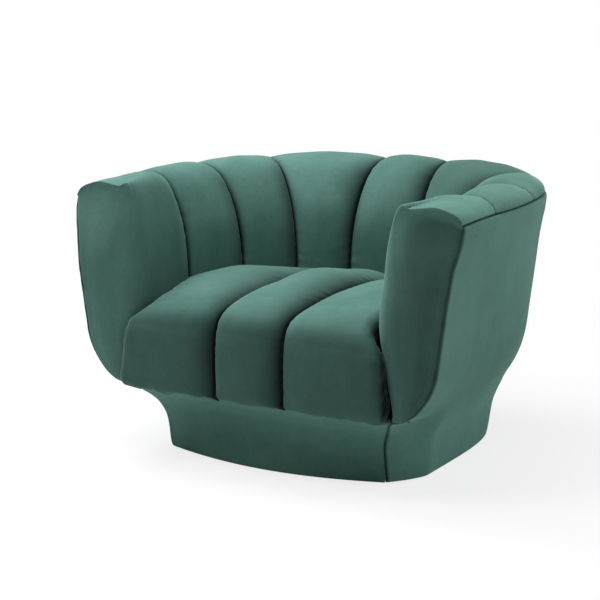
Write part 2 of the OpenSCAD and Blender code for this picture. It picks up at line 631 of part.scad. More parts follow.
// Seat frame on posts that stand on the platform
frame_front_y = leaf_back_y + board_t;
rear_rail_y = at_y(round_d + low_b) - pad_t * 2;
side_front_x = low_a - channel_swell + pad_t / 4;
front_half = former_in_x - clear;
rear_taper = 52;
side_rear_x = side_front_x - rear_taper;
board_foot_h = former_foot_h;
module seat_front_board() {
  color(birch)
    difference() {
      translate([-front_half, leaf_back_y + frame_gap / 2, board_foot_h])
        cube([2 * front_half, board_t - frame_gap / 2, rail_top_h - board_foot_h]);
      at_screws() screw_shape(clear / 2, overrun);
    }
}
module seat_front_rail() {
  color(birch)
    difference() {
      translate([-front_half, frame_front_y, rail_foot_h])
        cube([2 * front_half, rail_t, rail_h]);
      at_screws() screw_shape(clear / 2, 0);
    }
}
module seat_back_rail() {
  color(birch)
    translate([-side_rear_x, rear_rail_y, rail_foot_h])
      cube([2 * side_rear_x, rail_t, rail_h]);
}
module side_rail() {
  translate([0, 0, rail_foot_h])
    linear_extrude(height = rail_h)
      polygon([[side_front_x - rail_t, frame_front_y + rail_t], [side_front_x, frame_front_y + rail_t],
               [side_rear_x, rear_rail_y], [side_rear_x - rail_t, rear_rail_y]]);
}
module seat_side_rails() {
  color(birch) {
    side_rail();
    mirror([1, 0, 0]) side_rail();
  }
}
post_w = 45;
post_front_y = at_y(shell_front_d(shell_at(platform_h))) + panel_t + frame_gap * 2;
post_places = [[side_front_x - post_w, post_front_y], [side_rear_x - post_w, rear_rail_y + rail_t - post_w]];
module seat_posts() {
  color(birch)
    for (side = [0, 1]) mirror([side, 0, 0])
      for (p = post_places)
        translate([p.x, p.y, rib_foot_h])
          cube([post_w, post_w, rail_foot_h - rib_foot_h]);
}
block_w = 55;
module corner_blocks() {
  color(birch)
    for (side = [0, 1]) mirror([side, 0, 0]) {
      translate([side_front_x - rail_t - clear - tan(6) * block_w, frame_front_y + rail_t, rail_foot_h])
        linear_extrude(height = block_w)
          polygon([[0, 0], [-block_w, 0], [0, block_w]]);
      translate([side_rear_x - rail_t - clear, rear_rail_y, rail_foot_h])
        linear_extrude(height = block_w)
          polygon([[0, 0], [-block_w, 0], [0, -block_w]]);
    }
}

plinth_post_w = 40;
plinth_post_angles = [-38, 12, 60, 120, 168, 218];
module plinth_posts() {
  s = shell_at(hem_h + clear);
  foot = glide_h + dust_t + ply_t;
  inset = panel_t + clear * 4 + ring_w / 2;
  color(birch)
    for (angle = plinth_post_angles) {
      p = angle < 0 || angle > 180
        ? [sign(cos(angle)) * (shell_front_x(s) - inset - plinth_post_w / 4), at_y(corner_d) + inset]
        : [rail_point(shell_a(s) - inset, shell_b(s) - inset, shell_n(s), angle).x,
           rail_point(shell_a(s) - inset, shell_b(s) - inset, shell_n(s), angle).y];
      translate([p.x - plinth_post_w / 2, p.y - plinth_post_w / 2, foot])
        cube([plinth_post_w, plinth_post_w, plinth_h - foot]);
    }
}

// Sinuous springs: half turns joined by short straights, hooked over clips on the rails
wire_step = 0.5;
function to_step(x) = round(x / wire_step) * wire_step;
spring_front_y = to_step(frame_front_y + rail_t / 2);
pitch = to_step((rear_rail_y + rail_t / 2 - spring_front_y) / loop_count);
spring_len = loop_count * pitch;
spring_back_y = spring_front_y + spring_len;
spring_z = rail_top_h + wire_d / 2;
straight_half = to_step(spring_w / 2 - wire_d / 2 - pitch / 2);
module half_loop() {
  rotate_extrude(angle = 180, $fn = fine)
    translate([pitch / 2, 0])
      circle(d = wire_d, $fn = fine);
}
module spring() {
  for (k = [0:loop_count - 1]) {
    side = k % 2 == 0 ? 1 : -1;
    translate([side * straight_half, (k + 0.5) * pitch, 0])
      rotate([0, 0, side > 0 ? -90 : 90])
        half_loop();
    if (k < loop_count - 1)
      translate([-straight_half, (k + 1) * pitch, 0])
        rotate([0, 90, 0])
          cylinder(h = 2 * straight_half, d = wire_d, $fn = fine);
  }
  for (end = [0, 1])
    translate([straight_half, end * spring_len, 0])
      rotate([0, -90, 0])
        cylinder(h = clip_w + straight_half, d = wire_d, $fn = fine);
}
spring_span = 2 * (side_rear_x - rail_t - spring_w * 0.8);
function spring_x(k) = to_step(mix(-spring_span / 2, spring_span / 2, k / (spring_count - 1)));
module seat_springs() {
  color(steel)
    for (k = [0:spring_count - 1])
      translate([spring_x(k), spring_front_y, spring_z])
        spring();
}
module spring_clips() {
  color(steel)
    for (k = [0:spring_count - 1]) for (y = [spring_front_y, spring_back_y])
      translate([spring_x(k) - clip_w, y, spring_z])
        rotate([0, 90, 0])
          difference() {
            cylinder(h = clip_w, d = wire_d + 2 * clip_t, $fn = fine);
            translate([0, 0, -overrun])
              cylinder(h = clip_w + 2 * overrun, d = wire_d + clear, $fn = fine);
            translate([wire_d / 2, -wire_d, -overrun])
              cube([wire_d, 2 * wire_d, clip_w + 2 * overrun]);
          }
}

module deck_cloth() {
  color("#3a3b3d")
    translate([0, 0, deck_h - clear])
      linear_extrude(height = clear * 0.9)
        intersection() {
          polygon(concat(
            plan_points(low_a - seat_edge_drop, low_b - seat_edge_drop, low_n),
            [[-low_a + seat_edge_drop, at_y(board_back_d)], [low_a - seat_edge_drop, at_y(board_back_d)]]));
          translate([-low_a, frame_front_y])
            square([2 * low_a, rear_rail_y + rail_t - frame_front_y]);
        }
}

// Bolts through the platform and the top ring of the plinth
washer_t = 1.6;
washer_d = bolt_d * 2.4;
nut_w = bolt_d * 1.9;
head_t = bolt_d * 0.6;
bolt_angles = [40, 90, 140];
bolt_in = panel_t + ring_w / 2;
function bolt_place(angle) =
  let(s = shell_at(plinth_h)) rail_point(shell_a(s) - bolt_in, shell_b(s) - bolt_in, shell_n(s), angle);
front_bolt_x = floor_a - base_corner_in - ring_w - plinth_post_w;
front_bolt_y = at_y(shell_front_d(shell_at(plinth_h))) + bolt_in;
module at_bolts() {
  for (angle = bolt_angles) {
    p = bolt_place(angle);
    translate([p.x, p.y, plinth_h]) children();
  }
  for (side = [-1, 1]) translate([side * front_bolt_x, front_bolt_y, plinth_h]) children();
}
module bolt_holes() {
  at_bolts() translate([0, 0, -overrun]) cylinder(h = 2 * ply_t + 2 * overrun, d = bolt_d + 2 * clear, $fn = fine);
}
module frame_bolts() {
  color(steel)
    at_bolts() {
      translate([0, 0, 2 * ply_t + washer_t]) cylinder(h = head_t, d = nut_w, $fn = 6);
      translate([0, 0, -washer_t - bolt_d * 1.4])
        cylinder(h = 2 * ply_t + 2 * washer_t + bolt_d * 1.4 + head_t / 2, d = bolt_d, $fn = fine);
    }
}
module washer() {
  difference() {
    cylinder(h = washer_t, d = washer_d, $fn = fine);
    translate([0, 0, -overrun]) cylinder(h = washer_t + 2 * overrun, d = bolt_d + 2 * clear, $fn = fine);
  }
}
module bolt_washers() {
  color(steel)
    at_bolts() {
      translate([0, 0, 2 * ply_t]) washer();
      translate([0, 0, -washer_t]) washer();
    }
}
module bolt_nuts() {
  color(steel)
    at_bolts()
      translate([0, 0, -washer_t - bolt_d])
        difference() {
          cylinder(h = bolt_d, d = nut_w, $fn = 6);
          translate([0, 0, -overrun]) cylinder(h = bolt_d + 2 * overrun, d = bolt_d + clear / 2, $fn = fine);
        }
}

// Screws through the front board into the front rail
screw_count = 6;
screw_len = board_t + rail_t * 0.7;
screw_head_d = screw_d * 2;
screw_head_t = screw_d * 0.6;
module at_screws() {
  for (k = [0:screw_count - 1])
    translate([mix(-side_front_x + rail_t, side_front_x - rail_t, k / (screw_count - 1)), leaf_back_y,
               rail_foot_h + rail_h / 2])
      translate([0, clear, 0])
        rotate([-90, 0, 0])
          children();
}
module screw_shape(gap, tail) {
  translate([0, 0, -tail]) cylinder(h = screw_head_t + tail, d = screw_head_d + 2 * gap, $fn = fine);
  cylinder(h = screw_len + gap, d = screw_d + 2 * gap, $fn = fine);
}
module rail_screws() { color(steel) at_screws() screw_shape(0, 0); }

glide_in = panel_t + ring_w / 2;
module floor_glides() {
  s = shell_at(hem_h + clear);
  color("#1d1d1f")
    for (angle = plinth_post_angles) {
      p = angle < 0 || angle > 180
        ? [sign(cos(angle)) * (shell_front_x(s) - glide_in - plinth_post_w / 4), at_y(corner_d) + glide_in]
        : rail_point(shell_a(s) - glide_in, shell_b(s) - glide_in, shell_n(s), angle);
      translate([p.x, p.y, 0]) cylinder(h = glide_h, d = glide_d, $fn = fine);
    }
}

channel_left_front();
channel_left_side();
channel_left_rear();
channel_left_corner();
channel_back();
channel_right_corner();
channel_right_rear();
channel_right_side();
channel_right_front();
seat_channel_left();
seat_channel_centre();
seat_channel_right();
seat_foam_core();
outer_panel_left();
outer_panel_right();
outer_panel_back();
base_front_panel();
wall_lining();
top_rail();
arm_front_left();
arm_front_right();
wall_ribs();
seat_platform();
plinth_top_ring();
plinth_bottom_ring();
plinth_posts();
seat_front_board();
seat_front_rail();
seat_back_rail();
seat_side_rails();
seat_posts();
corner_blocks();
seat_springs();
spring_clips();
deck_cloth();
frame_bolts();
bolt_washers();
bolt_nuts();
rail_screws();
dust_cover();
floor_glides();
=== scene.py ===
import bpy
import math
import numpy as np
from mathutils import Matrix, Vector


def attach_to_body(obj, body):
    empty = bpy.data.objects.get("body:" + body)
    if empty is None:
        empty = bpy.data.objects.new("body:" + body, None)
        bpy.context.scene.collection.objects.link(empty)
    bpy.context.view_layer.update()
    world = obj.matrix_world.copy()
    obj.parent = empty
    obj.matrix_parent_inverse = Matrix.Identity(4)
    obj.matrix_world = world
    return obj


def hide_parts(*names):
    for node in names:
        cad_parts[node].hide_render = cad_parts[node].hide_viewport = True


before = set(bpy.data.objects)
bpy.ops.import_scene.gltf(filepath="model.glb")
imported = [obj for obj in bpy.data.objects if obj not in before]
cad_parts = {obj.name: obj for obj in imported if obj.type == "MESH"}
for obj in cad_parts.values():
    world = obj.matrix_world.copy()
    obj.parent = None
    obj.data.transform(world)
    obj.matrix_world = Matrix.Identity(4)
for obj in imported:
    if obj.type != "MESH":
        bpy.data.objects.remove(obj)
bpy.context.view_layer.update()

# Sizes are in millimetres until a mesh is made, and match the solids
chair = dict(width=1058, depth=918, height=684, roundDepth=243, panelSwell=6, backTop=43, lean=172,
             seamDrop=32, seatGap=694, crestWidth=900, crestSwell=12, baseWidth=716, baseBackIn=158,
             baseFrontDepth=89, baseCorner=596, baseBow=53, hemHeight=3, panelThick=10, seamGap=0.6,
             panelSeamAngle=52)

roundY = chair["roundDepth"] - chair["depth"] / 2
lowA, crestA = chair["seatGap"] / 2, chair["crestWidth"] / 2
outerA = chair["width"] / 2 - chair["panelSwell"]
outerB = chair["depth"] - chair["panelSwell"] - chair["roundDepth"]
crestB = outerB - chair["backTop"]
lowB = crestB - chair["lean"]
floorA, floorB = chair["baseWidth"] / 2, outerB - chair["baseBackIn"]
crestHeight = chair["height"] - chair["crestSwell"]
seamHeight = crestHeight - chair["seamDrop"]

# Half width, depth and power of the tuck, the crest and the outer seam, and where the creases cross each
lowN, crestN, floorN = 2.3, 2.8, 4.5
rails = (lowA, lowB, lowN), (crestA, crestB, crestN), (outerA, outerB, crestN)
creaseAngles = [half + [180 - a for a in half[::-1]] for half in (
    [9, 38.7, 59.4, 77.5], [5.9, 30.9, 53, 81.7], [0.4, 25.8, 51.3, 81.9])]


def mix(a, b, t):
    return a + (b - a) * t


def clip01(t):
    return np.clip(t, 0, 1)


def smooth(t, low, high):
    t = clip01((t - low) / (high - low))
    return t * t * (3 - 2 * t)


# The larger of x and 0, with a soft bend
def softAbove(x, soft):
    return 0.5 * (x + np.sqrt(x ** 2 + soft ** 2))


def bell(distance, wide):
    return np.exp(-(distance / wide) ** 2)


def fade(distance, reach):
    return np.exp(-distance / reach)


def atY(d):
    return d - chair["depth"] / 2


def sinDeg(angle):
    return np.sin(np.radians(angle))


def cosDeg(angle):
    return np.cos(np.radians(angle))


def railPoint(a, b, n, angle):
    c, s = cosDeg(angle), sinDeg(angle)
    r = ((np.abs(c) / a) ** n + (np.abs(s) / b) ** n) ** (-1 / n)
    return np.stack(np.broadcast_arrays(r * c, r * s + roundY), -1)


firstCrease = [railPoint(*rail, angles[0]) for rail, angles in zip(rails, creaseAngles)]


def railX(a, b, n, y):
    return a * clip01(1 - (np.clip(y - roundY, 0, b) / b) ** n) ** (1 / n)


# Smooth curve through table rows, with no overshoot
def curveThrough(xs, table, at):
    h = np.diff(xs)
    slope = np.diff(table, axis=0) / h[:, None]
    m = np.zeros_like(table)
    same = slope[:-1] * slope[1:] > 0
    w1, w2 = (2 * h[1:] + h[:-1])[:, None], (h[1:] + 2 * h[:-1])[:, None]
    with np.errstate(divide="ignore", invalid="ignore"):
        m[1:-1] = np.where(same, (w1 + w2) / (w1 / slope[:-1] + w2 / slope[1:]), 0)
    m[0], m[-1] = slope[0], slope[-1]
    k = np.clip(np.searchsorted(xs, at, side="right") - 1, 0, len(h) - 1)
    t, hk = ((at - xs[k]) / h[k])[:, None], h[k][:, None]
    return ((1 + 2 * t) * (1 - t) ** 2 * table[k] + t * (1 - t) ** 2 * hk * m[k]
            + t * t * (3 - 2 * t) * table[k + 1] + t * t * (t - 1) * hk * m[k + 1])


# Smooth random waves over space or along a line: how many, their shortest and their longest
class Waves:
    def __init__(self, seed, count, shortest, longest, dims=3):
        rng = np.random.default_rng(seed)
        lengths = np.exp(rng.uniform(np.log(shortest), np.log(longest), count))
        ways = rng.normal(size=(count, dims))
        ways /= np.linalg.norm(ways, axis=1)[:, None]
        self.k = ways * (2 * np.pi / lengths)[:, None]
        self.phase = rng.uniform(0, 2 * np.pi, count)
        self.size = (lengths / longest) ** 0.5
        self.size /= np.sqrt((self.size ** 2).sum() / 2)

    def __call__(self, points):
        return (np.sin(np.asarray(points) @ self.k.T + self.phase) * self.size).sum(-1)


def surfaceNormals(p):
    n = np.cross(np.gradient(p, axis=0), np.gradient(p, axis=1))
    return n / np.maximum(np.linalg.norm(n, axis=-1, keepdims=True), 1e-9)


# Normals on the side of a grid that way points to
def facing(grid, way):
    n = surfaceNormals(grid)
    return n if (n * np.array(way, float)).sum() > 0 else -n


def arcLength(p, axis):
    step = np.linalg.norm(np.diff(p, axis=axis), axis=-1)
    zero = np.zeros_like(np.take(step, [0], axis=axis))
    return np.concatenate([zero, np.cumsum(step, axis=axis)], axis=axis)


def addObject(name, data):
    made = bpy.data.objects.new(name, data)
    bpy.context.collection.objects.link(made)
    return made


# Mesh from rings; the first half of a ring is the show side and the second half its back
def loftMesh(name, rings, material, shade=None):
    rows, count, _ = rings.shape
    index = np.arange(rows * count).reshape(rows, count)
    nextOne = np.roll(index, -1, 1)
    quads = [np.stack([index[:-1], nextOne[:-1], nextOne[1:], index[1:]], -1).reshape(-1, 4)]
    k = np.arange(count // 2 - 1)
    for row, way in ((index[0], -1), (index[-1], 1)):
        quads.append(np.stack([row[k], row[k + 1], row[count - 2 - k], row[count - 1 - k]], -1)[:, ::way])
    quads, points = np.concatenate(quads), rings.reshape(-1, 3)
    a, b, c, d = (points[quads[:, corner]] for corner in range(4))
    volume = (a * (np.cross(b, c) + np.cross(c, d))).sum()
    if volume < 0:
        quads = quads[:, ::-1]
    mesh = bpy.data.meshes.new(name)
    mesh.from_pydata((points / 1000).tolist(), [], quads.tolist())
    # Painted shade per point, which darkens the velvet's colour there
    if shade is not None:
        layer = mesh.attributes.new("paintedShade", "FLOAT", "POINT")
        layer.data.foreach_set("value", np.asarray(shade, np.float32).ravel())
    mesh.shade_smooth()
    mesh.materials.append(material)
    return addObject(name, mesh)


def closed(front, back):
    return np.concatenate([front, back[:, ::-1]], 1)


def mirrored(made):
    return made[0] * np.array([-1, 1, 1]), made[1]


def steps(count, low=0.0, high=1.0, ends=0.6):
    t = np.linspace(0, 1, count)
    return mix(low, high, t - ends * np.sin(2 * np.pi * t) / (2 * np.pi))


# Painted shade near a seam, where shade falls in the crease: a sharp dark line in a wide soft shade
def paintedShade(distance, line, soft, strength=1.0):
    return strength * clip01(0.75 * bell(distance, line) + 0.4 * fade(distance, soft))


# Painted shade on one flank of each channel, the side that the light from the left does not reach
def paintedFlankShade(distance, wide, strength):
    return strength * np.exp(-(distance / wide) ** 1.4)


# One painted shade over another, each from 0, no painted shade, to 1
def shadeOver(*shades):
    light = 1.0
    for shade in shades:
        light = light * (1 - clip01(shade))
    return 1 - light


# How far a face dives towards a border, on a quarter round
def softBorder(distance, radius):
    t = clip01(1 - distance / radius)
    return radius * (1 - np.sqrt(clip01(1 - t * t)))


def borderOf(settings, **distances):
    return np.maximum.reduce([softBorder(distance, settings[lip]) for lip, distance in distances.items()])


# Little gathers that run out from a seam and die away; shift picks another stretch of the same rule
def gathers(along, across, seed, size, shortest, longest, reach, shift=0):
    along = along + shift
    line = along[..., None]
    ripple = Waves(seed, 14, shortest, longest, 1)
    patch = Waves(seed + 50, 5, longest * 3, longest * 9, 1)(line)
    slant = 0.25 * Waves(seed + 90, 3, longest * 4, longest * 9, 1)(line)
    where = np.clip(0.55 + 0.45 * patch, 0, 1.4)
    return size * ripple((along + slant * across)[..., None]) * where * fade(across, reach)


# Moves the gathers on a channel's second seam away from those on its first
def secondSeam(across):
    return np.where(across < across[:, -1:] / 2, 0, 4000.0)


# Rounded part of the wall. Along v a channel starts behind the seat at -1, has its tuck at 0, its crest at 1
# and its outer seam at 2
wall = dict(faceHeight=390, tuckHeight=345, swell=28, fullFrom=0.4, fullTo=0.6, padThick=40,
            crestPadThick=26, rowsBehind=8, rowsFace=84, rowsTop=30, across=64, lip=5, creaseIn=9,
            creaseDeep=4.5, creaseWide=4.5, topCreaseDeep=1.6, topCreaseWide=2.4, wave=0.9,
            waves=(12, 70, 240), flankWide=34, paintedFlankShade=0.82, topShade=0.3,
            paintedShade=dict(line=3.5, soft=6),
            outerShade=dict(line=3, soft=6, strength=0.5),
            puckers=dict(size=0.7, shortest=16, longest=44, reach=15),
            topPuckers=dict(size=0.56, shortest=14, longest=36, reach=12, shift=9000))
wallRows = np.concatenate([
    np.linspace(-1, 0, wall["rowsBehind"], endpoint=False),
    np.linspace(0, 1, wall["rowsFace"], endpoint=False),
    1 + steps(wall["rowsTop"], ends=0.3)])


# Height along v
def heightAt(v, lowEnd, top, bend=1):
    face = mix(wall["faceHeight"], top, sinDeg(90 * clip01(v)))
    over = mix(seamHeight, top, cosDeg(90 * clip01(v - 1)) ** bend)
    return np.where(v <= 0, mix(wall["faceHeight"], lowEnd, -v), np.where(v <= 1, face, over))


# Share of the way from the tuck to the crest
def faceShare(v):
    return 1 - cosDeg(90 * clip01(v))


# The way in plan from the tuck over the crest to the outer seam
def overCrest(v, low, crest, outer, share):
    return np.where(v <= 1, mix(low, crest, share), mix(crest, outer, sinDeg(90 * clip01(v - 1))))


def wallGrid(i, u, v, deep=0):
    v = v[:, None, None]
    grow = deep * wall["padThick"], 0, -deep * chair["panelThick"]
    marks = (railPoint(a + more, b + more, n, mix(angles[i], angles[i + 1], u))[None]
             for (a, b, n), more, angles in zip(rails, grow, creaseAngles))
    xy = overCrest(v, *marks, faceShare(v))
    z = heightAt(v, wall["tuckHeight"], crestHeight - deep * wall["crestPadThick"])
    return np.concatenate([xy, np.broadcast_to(z, (*xy.shape[:2], 1))], -1)


def bulge(u, flat=2.3, edge=0.62):
    return (1 - np.abs(2 * clip01(u) - 1) ** flat) ** edge


def swellAlong(v):
    rise = wall["swell"] * sinDeg(90 * clip01((v + 0.05) / (wall["fullFrom"] + 0.05))) ** 2
    late = (1 + cosDeg(180 * clip01((v - wall["fullTo"]) / (1 - wall["fullTo"])))) / 2
    ease = mix(chair["crestSwell"], wall["swell"], late)
    over = chair["crestSwell"] * cosDeg(45 * clip01(v - 1)) ** 2 * (1 - 0.6 * clip01(v - 1))
    return np.where(v < wall["fullFrom"], rise, np.where(v < 1, ease, over))


def insetAlong(v):
    return wall["creaseIn"] * smooth(v, -0.2, 0.3) * (1 - smooth(v, 0.85, 1.25))


def onTopAt(v):
    return smooth(v, 0.85, 1.3)[:, None]


def creaseAt(distance, onTop):
    wide = mix(wall["creaseWide"], wall["topCreaseWide"], onTop)
    return mix(wall["creaseDeep"], wall["topCreaseDeep"], onTop) * bell(distance, wide)


# lean is the painted shade over a channel's face; darkFirst picks the flank that gets painted flank shade
def wallChannel(i, seed, darkFirst=True, lean=0.0):
    v, u = wallRows, steps(wall["across"])
    gap = chair["seamGap"] / 2 / arcLength(wallGrid(i, u, v), 1).max()
    u = np.clip(u, gap, 1 - gap)
    flat = wallGrid(i, u, v)
    across, along = arcLength(flat, 1), arcLength(flat, 0)
    total = across[:, -1:]
    fromSeam, fromOuter = np.minimum(across, total - across), along[-1:] - along
    onTop, inset, line = onTopAt(v), insetAlong(v)[:, None], v[:, None]
    lift = (swellAlong(line) + inset) * bulge(u) - inset
    lift -= creaseAt(fromSeam, onTop) + softBorder(fromOuter, wall["lip"])
    lift += gathers(along + secondSeam(across), fromSeam, seed, **wall["puckers"])
    lift += gathers(across, fromOuter, seed + 7, **wall["topPuckers"]) * smooth(line, 0.9, 1.5)
    middle = smooth(fromSeam, 6, 60) * smooth(line, 0, 0.3)
    lift += wall["wave"] * Waves(seed + 3, *wall["waves"])(flat) * middle
    # Painted shade: in the creases, on one flank, over the face by lean, and along the outer seam
    flank = paintedFlankShade(across if darkFirst else total - across, wall["flankWide"], wall["paintedFlankShade"])
    crease = paintedShade(fromSeam, **wall["paintedShade"]) * mix(1, wall["topShade"], onTop)
    dark = shadeOver(crease, flank * smooth(line, 1.1, 0.6), lean * smooth(line, 0, 0.7),
                     paintedShade(fromOuter, **wall["outerShade"]))
    return closed(flat + surfaceNormals(flat) * lift[..., None], wallGrid(i, u, v, 1)), dark


# Outer shell: rows of height share, inset share, front narrowing share and front depth share
shellTable = np.array([
    [1, 0, 0, 0.99], [0.985, -1, 0, 0.98], [0.94, -0.6, -0.02, 0.97], [0.84, 0.07, -0.08, 0.984],
    [0.69, 0.172, -0.16, 1], [0.56, 0.25, -0.18, 1], [0.46, 0.305, -0.18, 1], [0.4, 0.368, -0.12, 1],
    [0.35, 0.453, 0.0, 1], [0.31, 0.545, 0.15, 1], [0.285, 0.612, 0.43, 1], [0.262, 0.67, 0.92, 0.8],
    [0.225, 0.74, 1.1, 0.49], [0.19, 0.805, 1.16, 0.3], [0.145, 0.87, 1.18, 0.17], [0.08, 0.915, 1.13, 0.06],
    [0.02, 0.95, 1.03, 0.01], [0, 0.97, 1, 0]])
shellTable[:, 1] *= np.where(shellTable[:, 1] < 0, chair["panelSwell"] / (outerA - floorA), 1)
narrowing = floorA - chair["baseCorner"] / 2
cornerDepth = chair["baseFrontDepth"] + chair["baseBow"]
shellLean = dict(depth=33, height=200)
shellRise = seamHeight - chair["hemHeight"]
shellChord = arcLength(shellTable[:, :2] * [shellRise, outerA - floorA], 0)
fineChord = np.linspace(0, shellChord[-1], 900)
shellFine = curveThrough(shellChord, shellTable, fineChord)[::-1]


def shellRows(count, ends=0.6, first=0):
    return curveThrough(shellChord, shellTable, steps(count, first, shellChord[-1], ends))


def shellAtHeight(z):
    share = (np.asarray(z, float) - chair["hemHeight"]) / shellRise
    return np.stack([np.interp(share, shellFine[:, 0], shellFine[:, k]) for k in range(4)], -1)


def shellH(s):
    return mix(chair["hemHeight"], seamHeight, s[..., 0])


def shellA(s):
    return mix(outerA, floorA, s[..., 1])


def shellFrontD(s):
    lean = np.clip(shellH(s) - seamHeight + shellLean["height"], 0, None) / shellLean["height"]
    return mix(cornerDepth, armFront["depth"], s[..., 3]) + shellLean["depth"] * lean ** 2


def shellFrontX(s):
    return shellA(s) - narrowing * s[..., 2]


def shellSide(s, share):
    y = mix(atY(shellFrontD(s)), roundY, share)
    x = shellA(s) - narrowing * s[..., 2] * (1 - share) ** 1.5
    return np.stack(np.broadcast_arrays(x, y, shellH(s)), -1)


def shellRound(s, angle):
    n = mix(crestN, floorN, np.clip(s[..., 1], 0, None))
    xy = railPoint(shellA(s), mix(outerB, floorB, s[..., 1]), n, angle)
    return np.concatenate([xy, shellH(s)[..., None]], -1)


# Arm front channel: forward from the first crease, round the inner corner and across the arm front. Along s
# it starts at the crease at 0 and reaches the back of the arm front at 1
armFront = dict(depth=38, thick=40, topWidth=129, lowOut=11, tipHeight=186, tipIn=46, tipFrom=0.9, swell=14,
                swellTop=0.75, drop=20, seamDrop=5, roundAcross=72, roundDeep=60, roundShare=0.44, topR=7,
                outerR=20, outerDeep=5, dome=7, edgeOver=4, backClear=8, topRailHeight=620, rowsLow=46,
                columns=50, cornerColumns=24, faceColumns=44, edgeColumns=12, easeColumns=(11, 47),
                easeRounds=40, standBelow=6, standSoft=16, topLow=4, waves=(12, 90, 280), topSeamColumn=17,
                topSeamDeep=1.7, topSeamWide=1.9, tipPuckerDeep=1.6, tipPuckerWide=5, leafShadeWide=95,
                paintedShade=dict(line=3.5, soft=8),
                edgeShade=dict(line=1.6, soft=2.5, strength=0.7),
                topSeamShade=dict(line=2, soft=4, strength=0.4),
                topPuckers=dict(size=0.49, shortest=10, longest=26, reach=9, shift=2000),
                edgePuckers=dict(size=0.35, shortest=40, longest=120, reach=16, shift=5000))
leafBackY = atY(armFront["depth"] + armFront["thick"])
armRows = np.concatenate([
    np.linspace(-1, 0, armFront["rowsLow"], endpoint=False), wallRows[wall["rowsBehind"]:]])


def leafBulge(v):
    bend = cosDeg(90 * clip01(v) / armFront["swellTop"]) ** 2
    return armFront["swell"] * np.where(v < armFront["swellTop"], bend, 0)


def armFall(v, s):
    early = armFront["drop"] * clip01((v - 0.6) / 0.4) ** 2
    late = mix(armFront["drop"], armFront["seamDrop"], smooth(v, 1, 1.4))
    return s ** 1.5 * np.where(v <= 1, early, late)


def armX(v, s, deep, atTip):
    low = mix(firstCrease[0][0], lowA + armFront["lowOut"], s) + deep * wall["padThick"]
    crest = mix(firstCrease[1][0], outerA - armFront["topWidth"], s ** 1.4)
    share = mix(faceShare(v), sinDeg(90 * clip01(v)) ** 2, s ** 2)
    tip = armFront["tipIn"] * clip01(-v) ** 1.5 * atTip
    return overCrest(v, low, crest, outerA - deep * chair["panelThick"], share) + tip


def creaseY(v):
    return overCrest(v, *(point[1] for point in firstCrease), faceShare(v))


def armBody(v, s, deep=0):
    v, s = v[:, None], s[None, :]
    atTip = smooth(s, armFront["tipFrom"], 1) * (1 - deep)
    full = mix(swellAlong(v), swellAlong(np.maximum(v, wall["fullFrom"])), smooth(s, 0, 1))
    inset = insetAlong(v)
    swell = ((full + inset) * bulge(np.minimum(s / 0.9, 0.5), 2.1, 0.72) - inset) * (1 - deep)
    outward = mix(1, 0.3, smooth(v, 0.8, 1.3))
    upward = smooth(v, 0.25, 0.9) * sinDeg(90 * clip01(np.minimum(v, 2 - v)))
    x = armX(v, s, deep, atTip) - outward * swell - (1 - deep) * leafBulge(v) * s ** 2
    y = mix(creaseY(v) - chair["seamGap"], leafBackY, s)
    lowEnd = mix(wall["tuckHeight"], armFront["tipHeight"], atTip)
    z = heightAt(v, lowEnd, crestHeight - deep * wall["crestPadThick"], mix(1, 0.62, s)) - armFall(v, s)
    return np.stack(np.broadcast_arrays(x, y, z + upward * swell), -1)


def frontYAt(z):
    # Above the outer seam the front stands up, with no bend to see
    z = np.maximum(z, armFront["tipHeight"])
    over = softAbove(z - (seamHeight - armFront["standBelow"]), armFront["standSoft"])
    return atY(shellFrontD(shellAtHeight(z - over)))


# Outline of the arm front seen from the front: its inner edge and top, and its outer seam
def leafOutline(v):
    inner = armBody(v, np.array([1.0]))[:, 0, ::2]
    seamEnd = seamHeight - armFront["seamDrop"] - armFront["topLow"]
    z = np.where(v <= 1, mix(armFront["tipHeight"], armFront["topRailHeight"], clip01((v + 1) / 2) ** 0.9),
                 mix(armFront["topRailHeight"], seamEnd, clip01(v - 1)))
    edge = np.stack([shellFrontX(shellAtHeight(z)) - chair["panelThick"] + armFront["edgeOver"], z], -1)
    inner[:, 0] = np.minimum(inner[:, 0], edge[:, 0] - 1)
    return inner, edge


def roundAcross(span):
    return np.minimum(armFront["roundAcross"], span * armFront["roundShare"])


# Inner face of the arm front, where it rounds into the front
def leafRimX(y, z):
    inner, edge = leafOutline(np.linspace(-1, 0.9, 96))
    x, span = (np.interp(z, inner[:, 1], k) for k in (inner[:, 0], edge[:, 0] - inner[:, 0]))
    turned = clip01(1 - (y - frontYAt(z)) / armFront["roundDeep"])
    return x + roundAcross(span) * (1 - np.sqrt(1 - turned ** 2))


# Distance across the leaf and depth behind its front, for each column of its grid
def leafColumns(v, span, thick, a, b):
    straight = np.maximum(0, thick - b)
    startTurn = np.arcsin(clip01(1 - thick / b))
    for f in np.linspace(0, 1, armFront["cornerColumns"] + 1)[1:]:
        run = f * (straight + b * (np.pi / 2 - startTurn))
        angle = startTurn + np.maximum(0, run - straight) / b
        yield (np.where(run < straight, 0, a * (1 - np.cos(angle))),
               np.where(run < straight, thick - run, b * (1 - np.sin(angle))))
    outerR = np.minimum(armFront["outerR"], span * 0.4)
    outerDeep = np.minimum(armFront["outerDeep"], thick * 0.8)
    dome = armFront["dome"] * smooth(span, 20, 110) * smooth(v, 1.02, 0.4)
    for f in steps(armFront["faceColumns"], ends=0.2)[1:-1]:
        q = mix(a, span - outerR, f)
        forward = dome * np.sin(np.pi * clip01(q / span) ** 0.8)
        yield q, -forward * smooth(q - a, -10, 40) * smooth(span - outerR - q, -14, 30)
    for t in np.linspace(90, 0, armFront["edgeColumns"]):
        yield span - outerR * (1 - cosDeg(t)), outerDeep * (1 - sinDeg(t))


